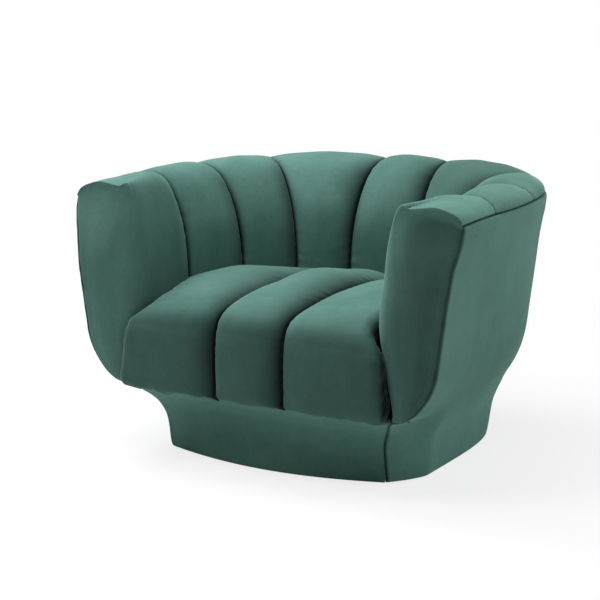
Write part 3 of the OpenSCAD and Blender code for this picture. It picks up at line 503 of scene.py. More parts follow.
# Front faces of the arm channel: its body beside the seat and the leaf
def armFaces(v, s):
    body = armBody(v, s)
    inner, edge = leafOutline(v)
    span = np.linalg.norm(edge - inner, axis=1)
    way = (edge - inner) / span[:, None]
    onTop = np.where(v < 1, smooth(inner[:, 1], 470, 652), 1.0)
    thick = np.maximum(leafBackY - frontYAt(inner[:, 1]), 5)
    a = mix(roundAcross(span), np.minimum(armFront["topR"], span * 0.3), onTop)
    b = mix(armFront["roundDeep"], np.minimum(armFront["topR"], thick), onTop)

    # The rounding of the inner corner starts on the side of the arm
    turned = clip01(1 - (body[..., 1] - frontYAt(body[..., 2])) / b[:, None])
    body[..., ::2] += (a[:, None] * (1 - np.sqrt(1 - turned ** 2)))[..., None] * way[:, None]

    leaf = []
    for q, depth in leafColumns(v, span, thick, a, b):
        place = inner + way * q[:, None]
        leaf.append(np.stack([place[:, 0], frontYAt(place[:, 1]) + depth, place[:, 1]], -1))
    leaf = np.stack(leaf, 1)
    # Ease the bend where the rounding runs out into the front
    bend = leaf[:, slice(*armFront["easeColumns"]), 1]
    for _ in range(armFront["easeRounds"]):
        middle = (bend[:, :-2] + bend[:, 2:]) / 2
        bend[:, 1:-1] += 0.5 * (1 - onTop)[:, None] * (middle - bend[:, 1:-1])
    return body, leaf


# lean gives the painted shade over the arm's side, and the painted shade that the leaf rises to across its
# front
def armChannelRings(seed, lean):
    v, s = armRows, steps(armFront["columns"], ends=0.5)
    body, leaf = armFaces(v, s)
    front, nBody = np.concatenate([body, leaf], 1), body.shape[1]
    along, across = arcLength(front, 0), arcLength(front, 1)
    outerEdge = across[:, -1:] - across
    isBody = (np.arange(front.shape[1]) < nBody)[None, :]
    topRow, onSeam = onTopAt(v), smooth(v, 0.96, 1.02)[:, None]
    lift = -creaseAt(across, topRow) - softBorder(along[-1:] - along, wall["lip"]) * isBody
    # Seam across the arm's top, which ends in a pucker at the inner corner
    fromSeam = np.abs(across - across[:, nBody + armFront["topSeamColumn"]][:, None])
    corner = np.hypot(along - along[np.searchsorted(v, 0.99)][None], fromSeam)
    lift -= armFront["topSeamDeep"] * bell(fromSeam, armFront["topSeamWide"]) * onSeam
    lift -= armFront["tipPuckerDeep"] * bell(corner, armFront["tipPuckerWide"])
    lift += gathers(along, across, seed, **wall["puckers"])
    lift += gathers(along, fromSeam, seed + 5, **armFront["topPuckers"]) * onSeam
    lift += gathers(along, outerEdge, seed + 9, **armFront["edgePuckers"])
    middle = smooth(np.minimum(across, outerEdge), 6, 60) * smooth(v, -1, -0.6)[:, None]
    lift += wall["wave"] * Waves(seed + 3, *armFront["waves"])(front) * middle
    front += facing(front, (-0.5, -1, 0.4)) * lift[..., None]
    back, flatBack = armBody(v, s, 1), leaf.copy()
    clear = armFront["backClear"] * smooth(v, 0.45, 0.8)[:, None]
    flatBack[..., 1] = leafBackY + clear
    flatBack[..., 0] -= (armFront["edgeOver"] + 1) * smooth(outerEdge[:, nBody:], 24, 4)
    back[..., 1] += clear * smooth(s, 0.7, 1)
    # Painted shade: in the crease and seams, over the arm's side, and rising across the leaf
    leafStart = across[:, nBody:nBody + 1]
    leafPaintedShade = mix(lean[0], lean[1], smooth(across, leafStart, leafStart + armFront["leafShadeWide"]))
    dark = shadeOver(paintedShade(across, **armFront["paintedShade"]) * mix(1, wall["topShade"], topRow),
                     paintedShade(outerEdge, **armFront["edgeShade"]),
                     paintedShade(fromSeam, **armFront["topSeamShade"]) * onSeam,
                     np.where(isBody, lean[0] * (1 - topRow), leafPaintedShade))
    return closed(front, np.concatenate([back, flatBack], 1)), dark


outerPanel = dict(rows=118, sideColumns=46, roundColumns=56, backColumns=96, frontLip=6, frontBack=3,
                  topLip=5, seamLip=4.6, hemLip=4, wave=0.45, waves=(14, 160, 620), paintedShadeTop=0.16,
                  paintedShadeLow=0.27, fallHeight=90, bodyCentre=(0, 0, 330),
                  shade=dict(line=2, soft=3, strength=0.6),
                  topPuckers=dict(size=0.3, shortest=14, longest=40, reach=12, shift=3000),
                  seamPuckers=dict(size=0.25, shortest=20, longest=60, reach=14, shift=6000),
                  frontPuckers=dict(size=0.3, shortest=30, longest=90, reach=18, shift=9000))


# How far the top seam falls towards the front corner
def topFall(y):
    start = creaseY(2)
    return armFront["seamDrop"] * clip01((start - y) / (start - leafBackY)) ** 1.5


def panelGrid(back):
    s, seam = shellRows(outerPanel["rows"], 0.75), chair["panelSeamAngle"]
    if back:
        seam += math.degrees(math.atan(chair["seamGap"] / outerA))
        return np.stack([shellRound(s, a) for a in steps(outerPanel["backColumns"], seam, 180 - seam)])
    shares = (steps(outerPanel["sideColumns"], ends=0) ** 1.6)[:-1]
    turn = np.linspace(0, 1, outerPanel["roundColumns"])
    setBack = outerPanel["frontBack"] / (roundY - atY(shellFrontD(s)))
    grid = np.stack([shellSide(s, mix(setBack, 1, k)) for k in shares]
                    + [shellRound(s, a) for a in seam * (1 - (1 - turn) ** 1.15)])
    nearTop = smooth(grid[..., 2], seamHeight - outerPanel["fallHeight"], seamHeight)
    grid[..., 2] -= topFall(grid[..., 1]) * nearTop
    return grid


def outerPanelRings(back, seed):
    grid = panelGrid(back)
    normals = facing(grid, grid - np.array(outerPanel["bodyCentre"]))
    rows, cols = arcLength(grid, 1), arcLength(grid, 0)
    top, hem, first, last = rows, rows[:, -1:] - rows, cols, cols[-1:] - cols
    firstLip = dict(seamLip=np.minimum(first, last)) if back else dict(frontLip=first, seamLip=last)
    border = borderOf(outerPanel, topLip=top, hemLip=hem, **firstLip)
    near, height = np.minimum.reduce([top, hem, first, last]), grid[..., 2]
    lift = outerPanel["wave"] * Waves(seed, *outerPanel["waves"])(grid) * smooth(near, 4, 90)
    lift += gathers(cols, top, seed + 1, **outerPanel["topPuckers"])
    lift += gathers(rows, np.minimum(first, last) if back else last, seed + 2, **outerPanel["seamPuckers"])
    if not back:
        lift += gathers(rows, first, seed + 3, **outerPanel["frontPuckers"])
    # The hem is no seam, so its painted shade is fainter
    fromSeam = np.minimum(near + 3 * (near == hem), 99)
    # Painted shade over the panel, more of it low down, fading out over the foot
    lean = mix(outerPanel["paintedShadeTop"], outerPanel["paintedShadeLow"], smooth(height, 420, 230))
    dark = shadeOver(paintedShade(fromSeam, **outerPanel["shade"]), lean * smooth(height, 110, 210))
    return closed(grid + normals * (lift - border)[..., None], grid - normals * chair["panelThick"]), dark


# Front of the plinth, bowed forward between the lower corners of the side panels
basePanel = dict(rows=64, columns=120, sideLip=3.5, topLip=5, hemLip=4, endIn=1, endDepth=12, topBow=0.4,
                 topGap=0.4, wave=0.5, waves=(10, 120, 420), cornerDip=2.0, backIn=1.5,
                 shade=dict(line=2, soft=4),
                 topPuckers=dict(size=0.7, shortest=24, longest=70, reach=26, shift=100),
                 sidePuckers=dict(size=0.3, shortest=18, longest=50, reach=14, shift=500))


def baseFrontRings(seed):
    topShare = (seat["lowHeight"] - basePanel["topGap"] - chair["hemHeight"]) / shellRise
    first = np.interp(-topShare, -shellFine[::-1, 0], fineChord)
    s, share = shellRows(basePanel["rows"], 0.7, first), steps(basePanel["columns"], 1, -1, 0.7)[:, None]
    x = (shellFrontX(s) - basePanel["endIn"]) * share
    bow = mix(chair["baseBow"], basePanel["topBow"], clip01(s[:, 0] / topShare)) * (1 - share ** 2)
    grid = np.stack(np.broadcast_arrays(x, atY(shellFrontD(s) - bow), shellH(s)), -1)
    normals = facing(grid, (0, -1, 0))
    rows, cols = arcLength(grid, 1), arcLength(grid, 0)
    sides, hem = np.minimum(cols, cols[-1:] - cols), rows[:, -1:] - rows
    border = borderOf(basePanel, sideLip=sides, topLip=rows, hemLip=hem)
    near = np.minimum.reduce([sides, rows, hem])
    lift = basePanel["wave"] * Waves(seed, *basePanel["waves"])(grid) * smooth(near, 4, 60)
    lift += gathers(cols, rows, seed + 1, **basePanel["topPuckers"])
    lift += gathers(rows, sides, seed + 2, **basePanel["sidePuckers"])
    lift -= basePanel["cornerDip"] * fade(sides, 9) * fade(rows, 34) + border
    behind = grid - normals * (chair["panelThick"] + basePanel["endDepth"] * fade(sides, 12))[..., None]
    inside = shellFrontX(s) - chair["panelThick"] - basePanel["backIn"]
    behind[..., 0] = np.clip(behind[..., 0], -inside, inside)
    # Painted shade along the side seams, strongest near the top under the seat
    dark = paintedShade(sides, **basePanel["shade"]) * mix(0.5, 1, fade(rows, 60))
    return closed(grid + normals * lift[..., None], behind), dark


# Seat channels: from the lower front seam over the waterfall edge to the back
seat = dict(midWidth=186, creaseHeight=423, lowHeight=174, rearDrop=60, swell=23, frontSwell=10,
            padThick=46, sideGap=5, rearGap=15, rows=170, across=64, creaseIn=19, creaseDeep=4.5,
            creaseWide=4.5, wave=1.1, waves=(14, 70, 260), lowWave=2.2, lowWaves=(6, 60, 190), flankWide=42,
            paintedFlankShade=0.97, paintedShadeFront=0.5, frontR=24, topR=34, cornerColumns=14, sideColumns=11,
            sideDeep=18, rimGap=3.5, rimSoft=5, bulge=(2.1, 0.6), rearCrown=0.62, flatAcross=54,
            levelShare=0.88, rearEase=0.12,
            puckers=dict(size=1.3, shortest=13, longest=36, reach=22),
            cornerPuckers=dict(size=0.8, shortest=24, longest=70, reach=26, shift=8000),
            lowPuckers=dict(size=1.5, shortest=22, longest=75, reach=24, shift=2500))

# Path of their creases in shares of depth and height; after its crest it falls towards the back
seatPath = np.array([
    [0.047, 0], [0.018, 0.045], [0.004, 0.14], [0, 0.28], [0, 0.44], [0.005, 0.62], [0.02, 0.75],
    [0.048, 0.845], [0.095, 0.905], [0.18, 0.945], [0.29, 0.975], [0.4, 0.99], [0.52, 1], [0.64, 0.975],
    [0.74, 0.935], [0.85, 0.885], [0.93, 0.85], [0.975, 0.81], [0.994, 0.76]])
crestRow = seatPath[:, 1].argmax()
seatLen = chair["roundDepth"] + lowB - seat["frontSwell"] - seat["rearGap"]
rearFall = seat["rearDrop"] * (1 - seatPath[:, 1]) / (1 - seatPath[-1, 1])
seatPoints = np.stack([
    seat["frontSwell"] + seatPath[:, 0] * seatLen,
    np.where(np.arange(len(seatPath)) > crestRow, seat["creaseHeight"] - rearFall,
             mix(seat["lowHeight"], seat["creaseHeight"], seatPath[:, 1]))], -1)


# Catmull-Rom curve through the points, sampled along its length
def roundedPath(points, count, ends):
    p = np.concatenate([2 * points[:1] - points[1:2], points, 2 * points[-1:] - points[-2:-1]])
    t = np.linspace(0, 1, 24, endpoint=False)[:, None]
    out = []
    for a, b, c, d in zip(p, p[1:], p[2:], p[3:]):
        bend = (2 * a - 5 * b + 4 * c - d) * t ** 2 + (3 * b - a - 3 * c + d) * t ** 3
        out.append(0.5 * (2 * b + (c - a) * t + bend))
    out = np.concatenate(out + [points[-1:]])
    chord = arcLength(out, 0)
    at = steps(count, 0, chord[-1], ends)
    return np.stack([np.interp(at, chord, out[:, k]) for k in range(2)], -1), at


# Height and half width of a side channel's front, where it swells past the arm's rim
seatSide = np.array([[174, 356], [200, 357], [240, 355], [290, 353], [325, 349], [350, 340], [372, 327],
                     [390, 315], [423, 305]], float)


# Where the outer side of a side channel stands, on its front and beside the arm
def seatEdgeX(y, z, fuller):
    tucked = lowA + armFront["lowOut"] - wall["swell"] - armFront["swell"]
    behind = clip01((y - leafBackY - armFront["thick"]) / (roundY - leafBackY))
    inside = mix(tucked, railX(*rails[0], y), np.where(y < roundY, behind, 1)) - seat["sideGap"]
    ahead = np.interp(z, seatSide[:, 0], seatSide[:, 1]) + fuller * (1 - smooth(z, 345, 400))
    return mix(ahead, inside, smooth(y, leafBackY - 36, leafBackY + 10))


# A side channel's places across and its lift over the path: flat, round the corner and down the side
def sideSection(y, z, crown, inset, deep, fuller, topR, edgeDrop):
    x0 = (seat["midWidth"] + chair["seamGap"]) / 2
    edgeX = seatEdgeX(y, z, fuller)
    r = mix(seat["frontR"], topR, smooth(z, 350, 400)) * mix(0.6, 1, smooth(z, 180, 240))
    width = edgeX - x0
    flat = x0 + (width - r) * steps(seat["flatAcross"], ends=0.45)
    turn = np.radians(np.linspace(0, 90, seat["cornerColumns"] + 1))[None, 1:]
    x = np.concatenate([flat, edgeX - r + r * np.sin(turn)], 1)
    share = (x - x0) / width
    raised = clip01((z - seat["lowHeight"]) / (wall["faceHeight"] - seat["lowHeight"]))
    lift = crown * bulge(np.minimum(share / 1.25, 0.5), *seat["bulge"]) - inset
    lift -= edgeDrop * raised * clip01(share) ** 3
    lift[:, -seat["cornerColumns"]:] -= r * (1 - np.cos(turn))
    down = mix(lift[:, -1:], -deep, np.linspace(0, 1, seat["sideColumns"] + 1)[None, 1:])
    x = np.concatenate([x, np.broadcast_to(edgeX, down.shape)], 1)
    return x, np.concatenate([lift, down], 1), x0, width


def seatChannel(wide, seed, fuller=0.0, darkFirst=False, edgeDrop=0):
    path, along = roundedPath(seatPoints, seat["rows"], 0.4)
    tangent = np.gradient(path, axis=0)
    tangent /= np.linalg.norm(tangent, axis=1)[:, None]
    normal = np.stack([-tangent[:, 1], tangent[:, 0]], -1)
    along, share = along[:, None], (path[:, :1] - seat["frontSwell"]) / seatLen
    y, z = atY(path[:, :1]), path[:, 1:]
    level = wall["faceHeight"] * seat["levelShare"]
    crown = mix(seat["frontSwell"], seat["swell"], clip01((z - level) / (seat["creaseHeight"] - level)))
    crown *= clip01((1 - share) / seat["rearEase"])
    if wide:
        crown *= mix(1, seat["rearCrown"], smooth(share, 0.3, 0.8))
    inset = seat["creaseIn"] * smooth(along, 8, 60) * smooth(1 - share, 0, 0.15)
    crown = crown * smooth(along, -12, 55) + inset
    deep = seat["padThick"] + (seat["sideDeep"] * (1 - smooth(z, 330, 365)) if wide else 0 * z)
    if wide:
        topR = seat["topR"] if darkFirst else seat["frontR"]
        x, lift, x0, width = sideSection(y, z, crown, inset, deep, fuller, topR, edgeDrop)
    else:
        half, u = (seat["midWidth"] - chair["seamGap"]) / 2, steps(seat["across"])
        x = np.broadcast_to(mix(-half, half, u), (len(z), len(u)))
        lift = crown * bulge(u, *seat["bulge"]) - inset
    depth, height = (path[:, None, k] + normal[:, None, k] * lift for k in (0, 1))
    if wide:
        # Stay inside the rim of the arm front
        past = x - leafRimX(atY(depth), height) + seat["rimGap"] + seat["rimSoft"] * 0.25
        within = smooth(height, 150, 178) * (1 - smooth(height, 372, 410))
        within = within * (1 - smooth(atY(depth), leafBackY, leafBackY + 30))
        x = x - softAbove(past, seat["rimSoft"]) * within * smooth(x, x0 + 0.5 * width, x0 + 0.8 * width)
    grid = np.stack([x, atY(depth), height], -1)
    across, run = arcLength(grid, 1), arcLength(grid, 0)
    total = across[:, -1:]
    fromSeam = across if wide else np.minimum(across, total - across)
    upper = smooth(share, 0.02, 0.4)
    lift = -seat["creaseDeep"] * bell(fromSeam, seat["creaseWide"]) * smooth(along, -4, 26)
    strength = mix(0.35, 1.0, upper) * mix(1, 0.8, smooth(share, 0.8, 1))
    lift += strength * gathers(run + secondSeam(across), fromSeam, seed, **seat["puckers"])
    # Painted shade in the crease, and on one flank where the light from the left does not reach
    dark = paintedShade(fromSeam, **wall["paintedShade"])
    if darkFirst or not wide:
        flank = paintedFlankShade(across if darkFirst else total - across, seat["flankWide"] * mix(0.8, 1.3, upper),
                           seat["paintedFlankShade"])
        dark = shadeOver(dark, flank)
    if wide:
        pastCorner = across - across[:, -seat["sideColumns"] - 1:-seat["sideColumns"]]
        lift += gathers(run, np.abs(pastCorner), seed + 4, **seat["cornerPuckers"])
        # Painted shade where the side channel turns down past its corner, in the gap beside the arm
        dark = shadeOver(dark, smooth(pastCorner, -16, 10))
    # Ripples over the lower front seam
    lift += gathers(across, run, seed + 6, **seat["lowPuckers"])
    middle = smooth(fromSeam, 6, 50) * smooth(run, 5, 60)
    lift += seat["wave"] * Waves(seed + 3, *seat["waves"])(grid) * middle
    normals = facing(grid, (0, 0, 1))
    # Painted shade on the front faces and none on the top, by how far each faces up
    dark = shadeOver(dark, seat["paintedShadeFront"] * smooth(normals[..., 2], 0.85, 0.15))
    front = grid + normals * lift[..., None]
    lowEdge = Waves(seed + 8, *seat["lowWaves"], 1)((front[..., 0] + 700)[..., None])
    front[..., 2] += seat["lowWave"] * lowEdge * fade(run, 18)
    under = path - normal * deep
    backX = mix(x[:, :1], x[:, -1:], np.linspace(0, 1, x.shape[1])) if wide else x
    back = np.stack(np.broadcast_arrays(backX, atY(under[:, :1]), under[:, 1:]), -1)
    return closed(front, back), dark


# Finishes. An input is wired when its value is another node's output, and set otherwise
def setInputs(tree, node, inputs):
    for key, value in dict(inputs).items():
        if isinstance(value, bpy.types.NodeSocket):
            tree.links.new(value, node.inputs[key])
        else:
            node.inputs[key].default_value = value


def addNode(tree, kind, inputs=(), **settings):
    node = tree.nodes.new(kind)
    for key, value in settings.items():
        setattr(node, key, value)
    setInputs(tree, node, inputs)
    return node


def maths(tree, operation, *values):
    return addNode(tree, "ShaderNodeMath", dict(enumerate(values)), operation=operation).outputs[0]


# A material under way: its tree, its shader and the place on the piece that its patterns are laid on
class Finish:
    def __init__(self, name):
        self.material = bpy.data.materials.new(name)
        self.material.use_nodes = True
        self.tree = self.material.node_tree
        self.shader = self.tree.nodes["Principled BSDF"]
        self.place = addNode(self.tree, "ShaderNodeTexCoord").outputs["Object"]

    def stretched(self, stretch):
        if stretch is None:
            return self.place
        return addNode(self.tree, "ShaderNodeMapping", {"Vector": self.place, "Scale": stretch}).outputs[0]

    def noise(self, scale, detail, roughness, stretch=None):
        inputs = {"Vector": self.stretched(stretch), "Scale": scale, "Detail": detail, "Roughness": roughness}
        return addNode(self.tree, "ShaderNodeTexNoise", inputs).outputs["Fac"]

    def bands(self, stretch=None, direction="X", **inputs):
        inputs = {key.replace("_", " "): value for key, value in inputs.items()}
        return addNode(self.tree, "ShaderNodeTexWave", {"Vector": self.stretched(stretch), **inputs},
                       bands_direction=direction).outputs["Fac"]

    # Sum of patterns, each centred on its middle, about 0.5
    def weighted(self, parts):
        total = 0.5 - 0.5 * sum(weight for _, weight in parts)
        for pattern, weight in parts:
            total = maths(self.tree, "MULTIPLY_ADD", pattern, weight, total)
        return total

    def between(self, factor, dark, middle, light):
        ramp = addNode(self.tree, "ShaderNodeValToRGB", {"Fac": factor})
        ramp.color_ramp.elements.new(0.5)
        for element, place, colour in zip(ramp.color_ramp.elements, (0.15, 0.5, 0.85), (dark, middle, light)):
            element.position, element.color = place, (*colour, 1)
        return ramp.outputs["Color"]

    # Colour multiplied by a tint as far as the factor says, on the sockets of a mix node that hold colours
    def tinted(self, factor, colour, tint):
        return addNode(self.tree, "ShaderNodeMix", {0: factor, 6: colour, 7: (*tint, 1)}, data_type="RGBA",
                       blend_type="MULTIPLY").outputs[2]

    def ranged(self, value, low, high, toLow, toHigh):
        return addNode(self.tree, "ShaderNodeMapRange", {
            "Value": value, "From Min": low, "From Max": high, "To Min": toLow, "To Max": toHigh}).outputs[0]

    def made(self, inputs, bumps):
        normal = {}
        for height, distance, strength in bumps:
            bump = addNode(self.tree, "ShaderNodeBump", {
                "Height": height, "Distance": distance, "Strength": strength, **normal})
            normal = {"Normal": bump.outputs["Normal"]}
        setInputs(self.tree, self.shader, {**inputs, **normal})
        return self.material


# The last tint is the dark colour that painted shade pulls the velvet towards
velvetLook = dict(dark=(0.054, 0.126, 0.107), middle=(0.077, 0.171, 0.148), light=(0.107, 0.222, 0.194),
                  roughness=0.95, specular=0.12, sheen=0.24, sheenRoughness=0.34, sheenTint=(0.55, 1.0, 0.8),
                  paintedShadeTint=(0.045, 0.04, 0.05))


def velvet(name, look, stretch):
    finish = Finish(name)
    cloudy, brushed, mottled = (finish.noise(5.5, 3, 0.55), finish.noise(16, 4, 0.6, stretch),
                                finish.noise(70, 4, 0.65))
    pile, lean = finish.noise(1500, 2, 0.7), finish.noise(340, 3, 0.6)
    tone = finish.weighted([(cloudy, 0.55), (brushed, 0.5), (mottled, 0.32), (lean, 0.22), (pile, 0.45)])
    colour = finish.between(tone, look["dark"], look["middle"], look["light"])
    # Painted shade: the colour is darkened towards the shade tint as far as the piece's shade attribute says
    shade = addNode(finish.tree, "ShaderNodeAttribute", attribute_name="paintedShade").outputs["Fac"]
    return finish.made({
        "Base Color": finish.tinted(shade, colour, look["paintedShadeTint"]), "Roughness": look["roughness"],
        "Specular IOR Level": look["specular"], "Sheen Weight": look["sheen"],
        "Sheen Roughness": look["sheenRoughness"], "Sheen Tint": (*look["sheenTint"], 1)},
        [(mottled, 0.0010, 0.35), (lean, 0.0005, 0.45), (pile, 0.0003, 0.5)])


# Sawn boards and veneer: long grain in the way of the face, fine pores, darker end plies
def wood(name, look):
    finish = Finish(name)
    drift, pores = (finish.noise(scale, 3, rough, look["stretch"]) for scale, rough in ((6, 0.6), (420, 0.7)))
    rings = finish.bands(look["stretch"], Scale=look["ringScale"], Distortion=6, Detail=3, Detail_Scale=1.4)
    smudge = finish.noise(9, 4, 0.6)
    tone = finish.weighted([(drift, 0.5), (rings, 0.35), (pores, 0.4), (smudge, 0.25)])
    colour = finish.between(tone, *look["colours"])
    if look["plies"]:
        height = addNode(finish.tree, "ShaderNodeSeparateXYZ", {0: finish.place}).outputs["Z"]
        layers = maths(finish.tree, "PINGPONG", height, look["plies"])
        line = finish.ranged(layers, look["plies"] * 0.35, look["plies"] * 0.6, 0, 0.5)
        colour = finish.tinted(line, colour, (0.62, 0.5, 0.38))
    rough = finish.ranged(tone, 0, 1, look["rough"] + 0.08, look["rough"] - 0.08)
    return finish.made({"Base Color": colour, "Roughness": rough},
                       [(pores, 0.0004, 0.4), (smudge, 0.001, 0.2)])


# Cloth with a woven or felted face, or open-cell foam
def plainCloth(name, look):
    finish = Finish(name)
    grainy = finish.noise(look["grain"], 3, 0.7)
    parts, bumps = [(finish.noise(8, 3, 0.6), 0.4), (grainy, 0.6)], [(grainy, 0.0006, 0.5)]
    for way in look.get("threads", ()):
        yarn = finish.bands(direction=way, Scale=look["threadScale"], Distortion=0.5, Detail=1)
        parts.append((yarn, 0.35))
        bumps.append((yarn, 0.0004, 0.5))
    if "cells" in look:
        cells = addNode(finish.tree, "ShaderNodeTexVoronoi", {"Vector": finish.place, "Scale": look["cells"]})
        parts.append((cells.outputs["Distance"], -0.6))
        bumps.append((cells.outputs["Distance"], 0.0012, 0.6))
    return finish.made({
        "Base Color": finish.between(finish.weighted(parts), *look["colours"]), "Specular IOR Level": 0.2,
        "Roughness": finish.ranged(grainy, 0, 1, 0.78, 0.95)}, bumps)


# Zinc-plated steel or black moulded plastic
def hard(name, look):
    finish = Finish(name)
    spangle, fine = finish.noise(look["spangle"], 3, 0.6), finish.noise(look["fine"], 2, 0.7)
    smudge = finish.noise(14, 4, 0.6)
    tone = finish.weighted([(spangle, 0.6), (fine, 0.3), (smudge, 0.4)])
    return finish.made({
        "Base Color": finish.between(tone, *look["colours"]), "Metallic": look["metal"],
        "Roughness": finish.ranged(tone, 0.2, 0.8, look["rough"] - 0.08, look["rough"] + 0.1)},
        [(fine, 0.0002, 0.4), (smudge, 0.0006, 0.15)])


black = (0.010, 0.010, 0.012), (0.020, 0.020, 0.023), (0.038, 0.038, 0.042)
finishes = dict(
    plywood=wood("birchPlywood", dict(
        stretch=(0.5, 0.5, 0.09), ringScale=5, plies=0.0014, rough=0.62,
        colours=((0.47, 0.33, 0.20), (0.62, 0.47, 0.31), (0.74, 0.60, 0.43)))),
    hardwood=wood("planedBeech", dict(
        stretch=(0.07, 0.6, 0.6), ringScale=9, plies=0, rough=0.52,
        colours=((0.38, 0.23, 0.13), (0.54, 0.36, 0.22), (0.66, 0.48, 0.31)))),
    foam=plainCloth("foamCore", dict(
        grain=240, cells=620, colours=((0.58, 0.53, 0.40), (0.74, 0.69, 0.54), (0.84, 0.80, 0.66)))),
    lining_cloth=plainCloth("liningCloth", dict(
        grain=500, threads=("X", "Z"), threadScale=260,
        colours=((0.012, 0.012, 0.014), (0.024, 0.024, 0.027), (0.05, 0.05, 0.055)))),
    dust_cloth=plainCloth("dustCloth", dict(grain=900, cells=260, colours=black)),
    steel=hard("zincSteel", dict(
        spangle=60, fine=900, rough=0.34, metal=1,
        colours=((0.36, 0.37, 0.39), (0.52, 0.53, 0.54), (0.66, 0.66, 0.65)))),
    glide_plastic=hard("glidePlastic", dict(spangle=20, fine=700, rough=0.5, metal=0, colours=black)))
nodeSlots = dict(
    foam=["seat_foam_core"], lining_cloth=["wall_lining", "deck_cloth"], dust_cloth=["dust_cover"],
    plywood=["top_rail", "arm_front_left", "arm_front_right", "wall_ribs", "seat_platform", "plinth_top_ring",
             "plinth_bottom_ring", "corner_blocks", "plinth_posts", "seat_posts"],
    hardwood=["seat_front_board", "seat_front_rail", "seat_back_rail", "seat_side_rails"],
    steel=["seat_springs", "spring_clips", "frame_bolts", "bolt_washers", "bolt_nuts", "rail_screws"],
    glide_plastic=["floor_glides"])
print("frame finishes")
for slotName, names in nodeSlots.items():
    for node in names:
        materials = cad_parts[node].data.materials
        materials.clear()
        materials.append(finishes[slotName])

channels = velvet("velvetChannels", velvetLook, (1, 1, 0.35)), "velvet_channels"
panels = velvet("velvetPanels", velvetLook, (0.8, 0.8, 0.3)), "velvet_panels"


def attach(piece, node=None):
    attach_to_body(piece, "root")
    if node:
        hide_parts(node)


# A pad stands for the CAD node of the same name, which is written with low lines there
def addPad(name, made, look):
    rings, dark = made
    # The back half, out of sight, gets full painted shade
    hiddenPaintedShade = np.ones((rings.shape[0], rings.shape[1] - dark.shape[1]))
    piece = loftMesh(name, rings, look[0], np.concatenate([dark, hiddenPaintedShade], 1))
    attach(piece, "".join("_" + c.lower() if c.isupper() else c for c in name))


print("wall channels")
# The last number of each is the painted shade over that channel's face
for index, (word, seed, lean) in enumerate((("Side", 11, 0.12), ("Rear", 12, 0.2), ("Corner", 13, 0.44))):
    addPad("channelRight" + word, wallChannel(index, seed, lean=lean), channels)
    addPad("channelLeft" + word, mirrored(wallChannel(index, seed + 20, False, 0.04)), channels)
addPad("channelBack", wallChannel(3, 14, lean=0.2), channels)

print("arm fronts")
# Painted shade over each arm's side, then over its leaf
addPad("channelRightFront", armChannelRings(15, (0.0, 0.52)), channels)
addPad("channelLeftFront", mirrored(armChannelRings(35, (0.2, 0.12))), channels)

print("seat channels")
addPad("seatChannelCentre", seatChannel(False, 41), channels)
addPad("seatChannelRight", seatChannel(True, 42, edgeDrop=12), channels)
addPad("seatChannelLeft", mirrored(seatChannel(True, 43, 12, True, 30)), channels)

# Black cloth pulled over the front board, behind the seat's lower edge; it also stands as a dark sheet for
# the shade in the slit beside the seat
frontCloth = dict(halfWidth=398, low=178, high=323, face=-379.5, thick=1.0, clear=0.4, wave=0.25,
                  waves=(8, 40, 160), columns=90, rows=24, turnIn=11, turnRows=8, rise=3.0)


def frontClothRings():
    x = np.linspace(-frontCloth["halfWidth"], frontCloth["halfWidth"], frontCloth["columns"])[None]
    z = np.linspace(frontCloth["low"], frontCloth["high"], frontCloth["rows"])[:, None]
    ripple = Waves(61, *frontCloth["waves"], 2)(np.stack(np.broadcast_arrays(x, z), -1))
    y = frontCloth["face"] - frontCloth["thick"] - frontCloth["clear"] + frontCloth["wave"] * ripple
    front = np.stack(np.broadcast_arrays(x, y, z), -1)
    back = front + [0, frontCloth["thick"], 0]
    # Turned in over the board's top edge
    over = np.linspace(0, 1, frontCloth["turnRows"])[:, None, None]
    turned = front[-1:] + over * [0, frontCloth["turnIn"], 0]
    turned[..., 2] = frontCloth["high"] + frontCloth["rise"] * (1 - np.exp(-over[..., 0] * 8))
    under = turned - [0, 0, frontCloth["thick"] * 0.6]
    return closed(np.concatenate([front, turned[1:]]), np.concatenate([back, under[1:]]))


print("front cloth")
lining = loftMesh("frontCloth", frontClothRings(), finishes["lining_cloth"])
attach(lining)

print("outer panels")
addPad("outerPanelRight", outerPanelRings(False, 51), panels)
addPad("outerPanelLeft", mirrored(outerPanelRings(False, 52)), panels)
addPad("outerPanelBack", outerPanelRings(True, 53), panels)
addPad("baseFrontPanel", baseFrontRings(54), panels)

# Flat cord sewn into the bottom of the seam round the top of the outer shell
seamCord = dict(radius=2.2, sunk=5.2, lower=3.6, side=90, round=150, frontStop=0.03, sides=8, shade=0.8)


def topSeamPath():
    s = shellTable[0]
    shares = mix(seamCord["frontStop"], 1, (np.linspace(0, 1, seamCord["side"]) ** 1.3)[:-1])
    right = np.stack([shellSide(s, k) for k in shares])
    right[:, 2] -= topFall(right[:, 1])
    rear = np.stack([shellRound(s, a) for a in np.linspace(0, 180, seamCord["round"])])
    path = np.concatenate([right, rear, right[::-1] * [-1, 1, 1]])
    forward = np.gradient(path, axis=0)
    inward = np.stack([-forward[:, 1], forward[:, 0], 0 * forward[:, 0]], -1)
    inward /= np.linalg.norm(inward, axis=1)[:, None]
    return path + inward * seamCord["sunk"] - [0, 0, seamCord["lower"]], inward


print("top seam cord")
cordPath, cordInward = topSeamPath()
turn = np.linspace(0, 2 * np.pi, seamCord["sides"], endpoint=False)[None, :, None]
cordRound = np.cos(turn) * cordInward[:, None] + np.sin(turn) * np.array([0, 0, 1.0])
cordRings = cordPath[:, None] + seamCord["radius"] * cordRound
# Painted shade: the cord sits in the seam and is darkened as if in shade
cordPaintedShade = np.full(cordRings.shape[:2], seamCord["shade"])
attach(loftMesh("topSeamCord", cordRings, panels[0], cordPaintedShade))

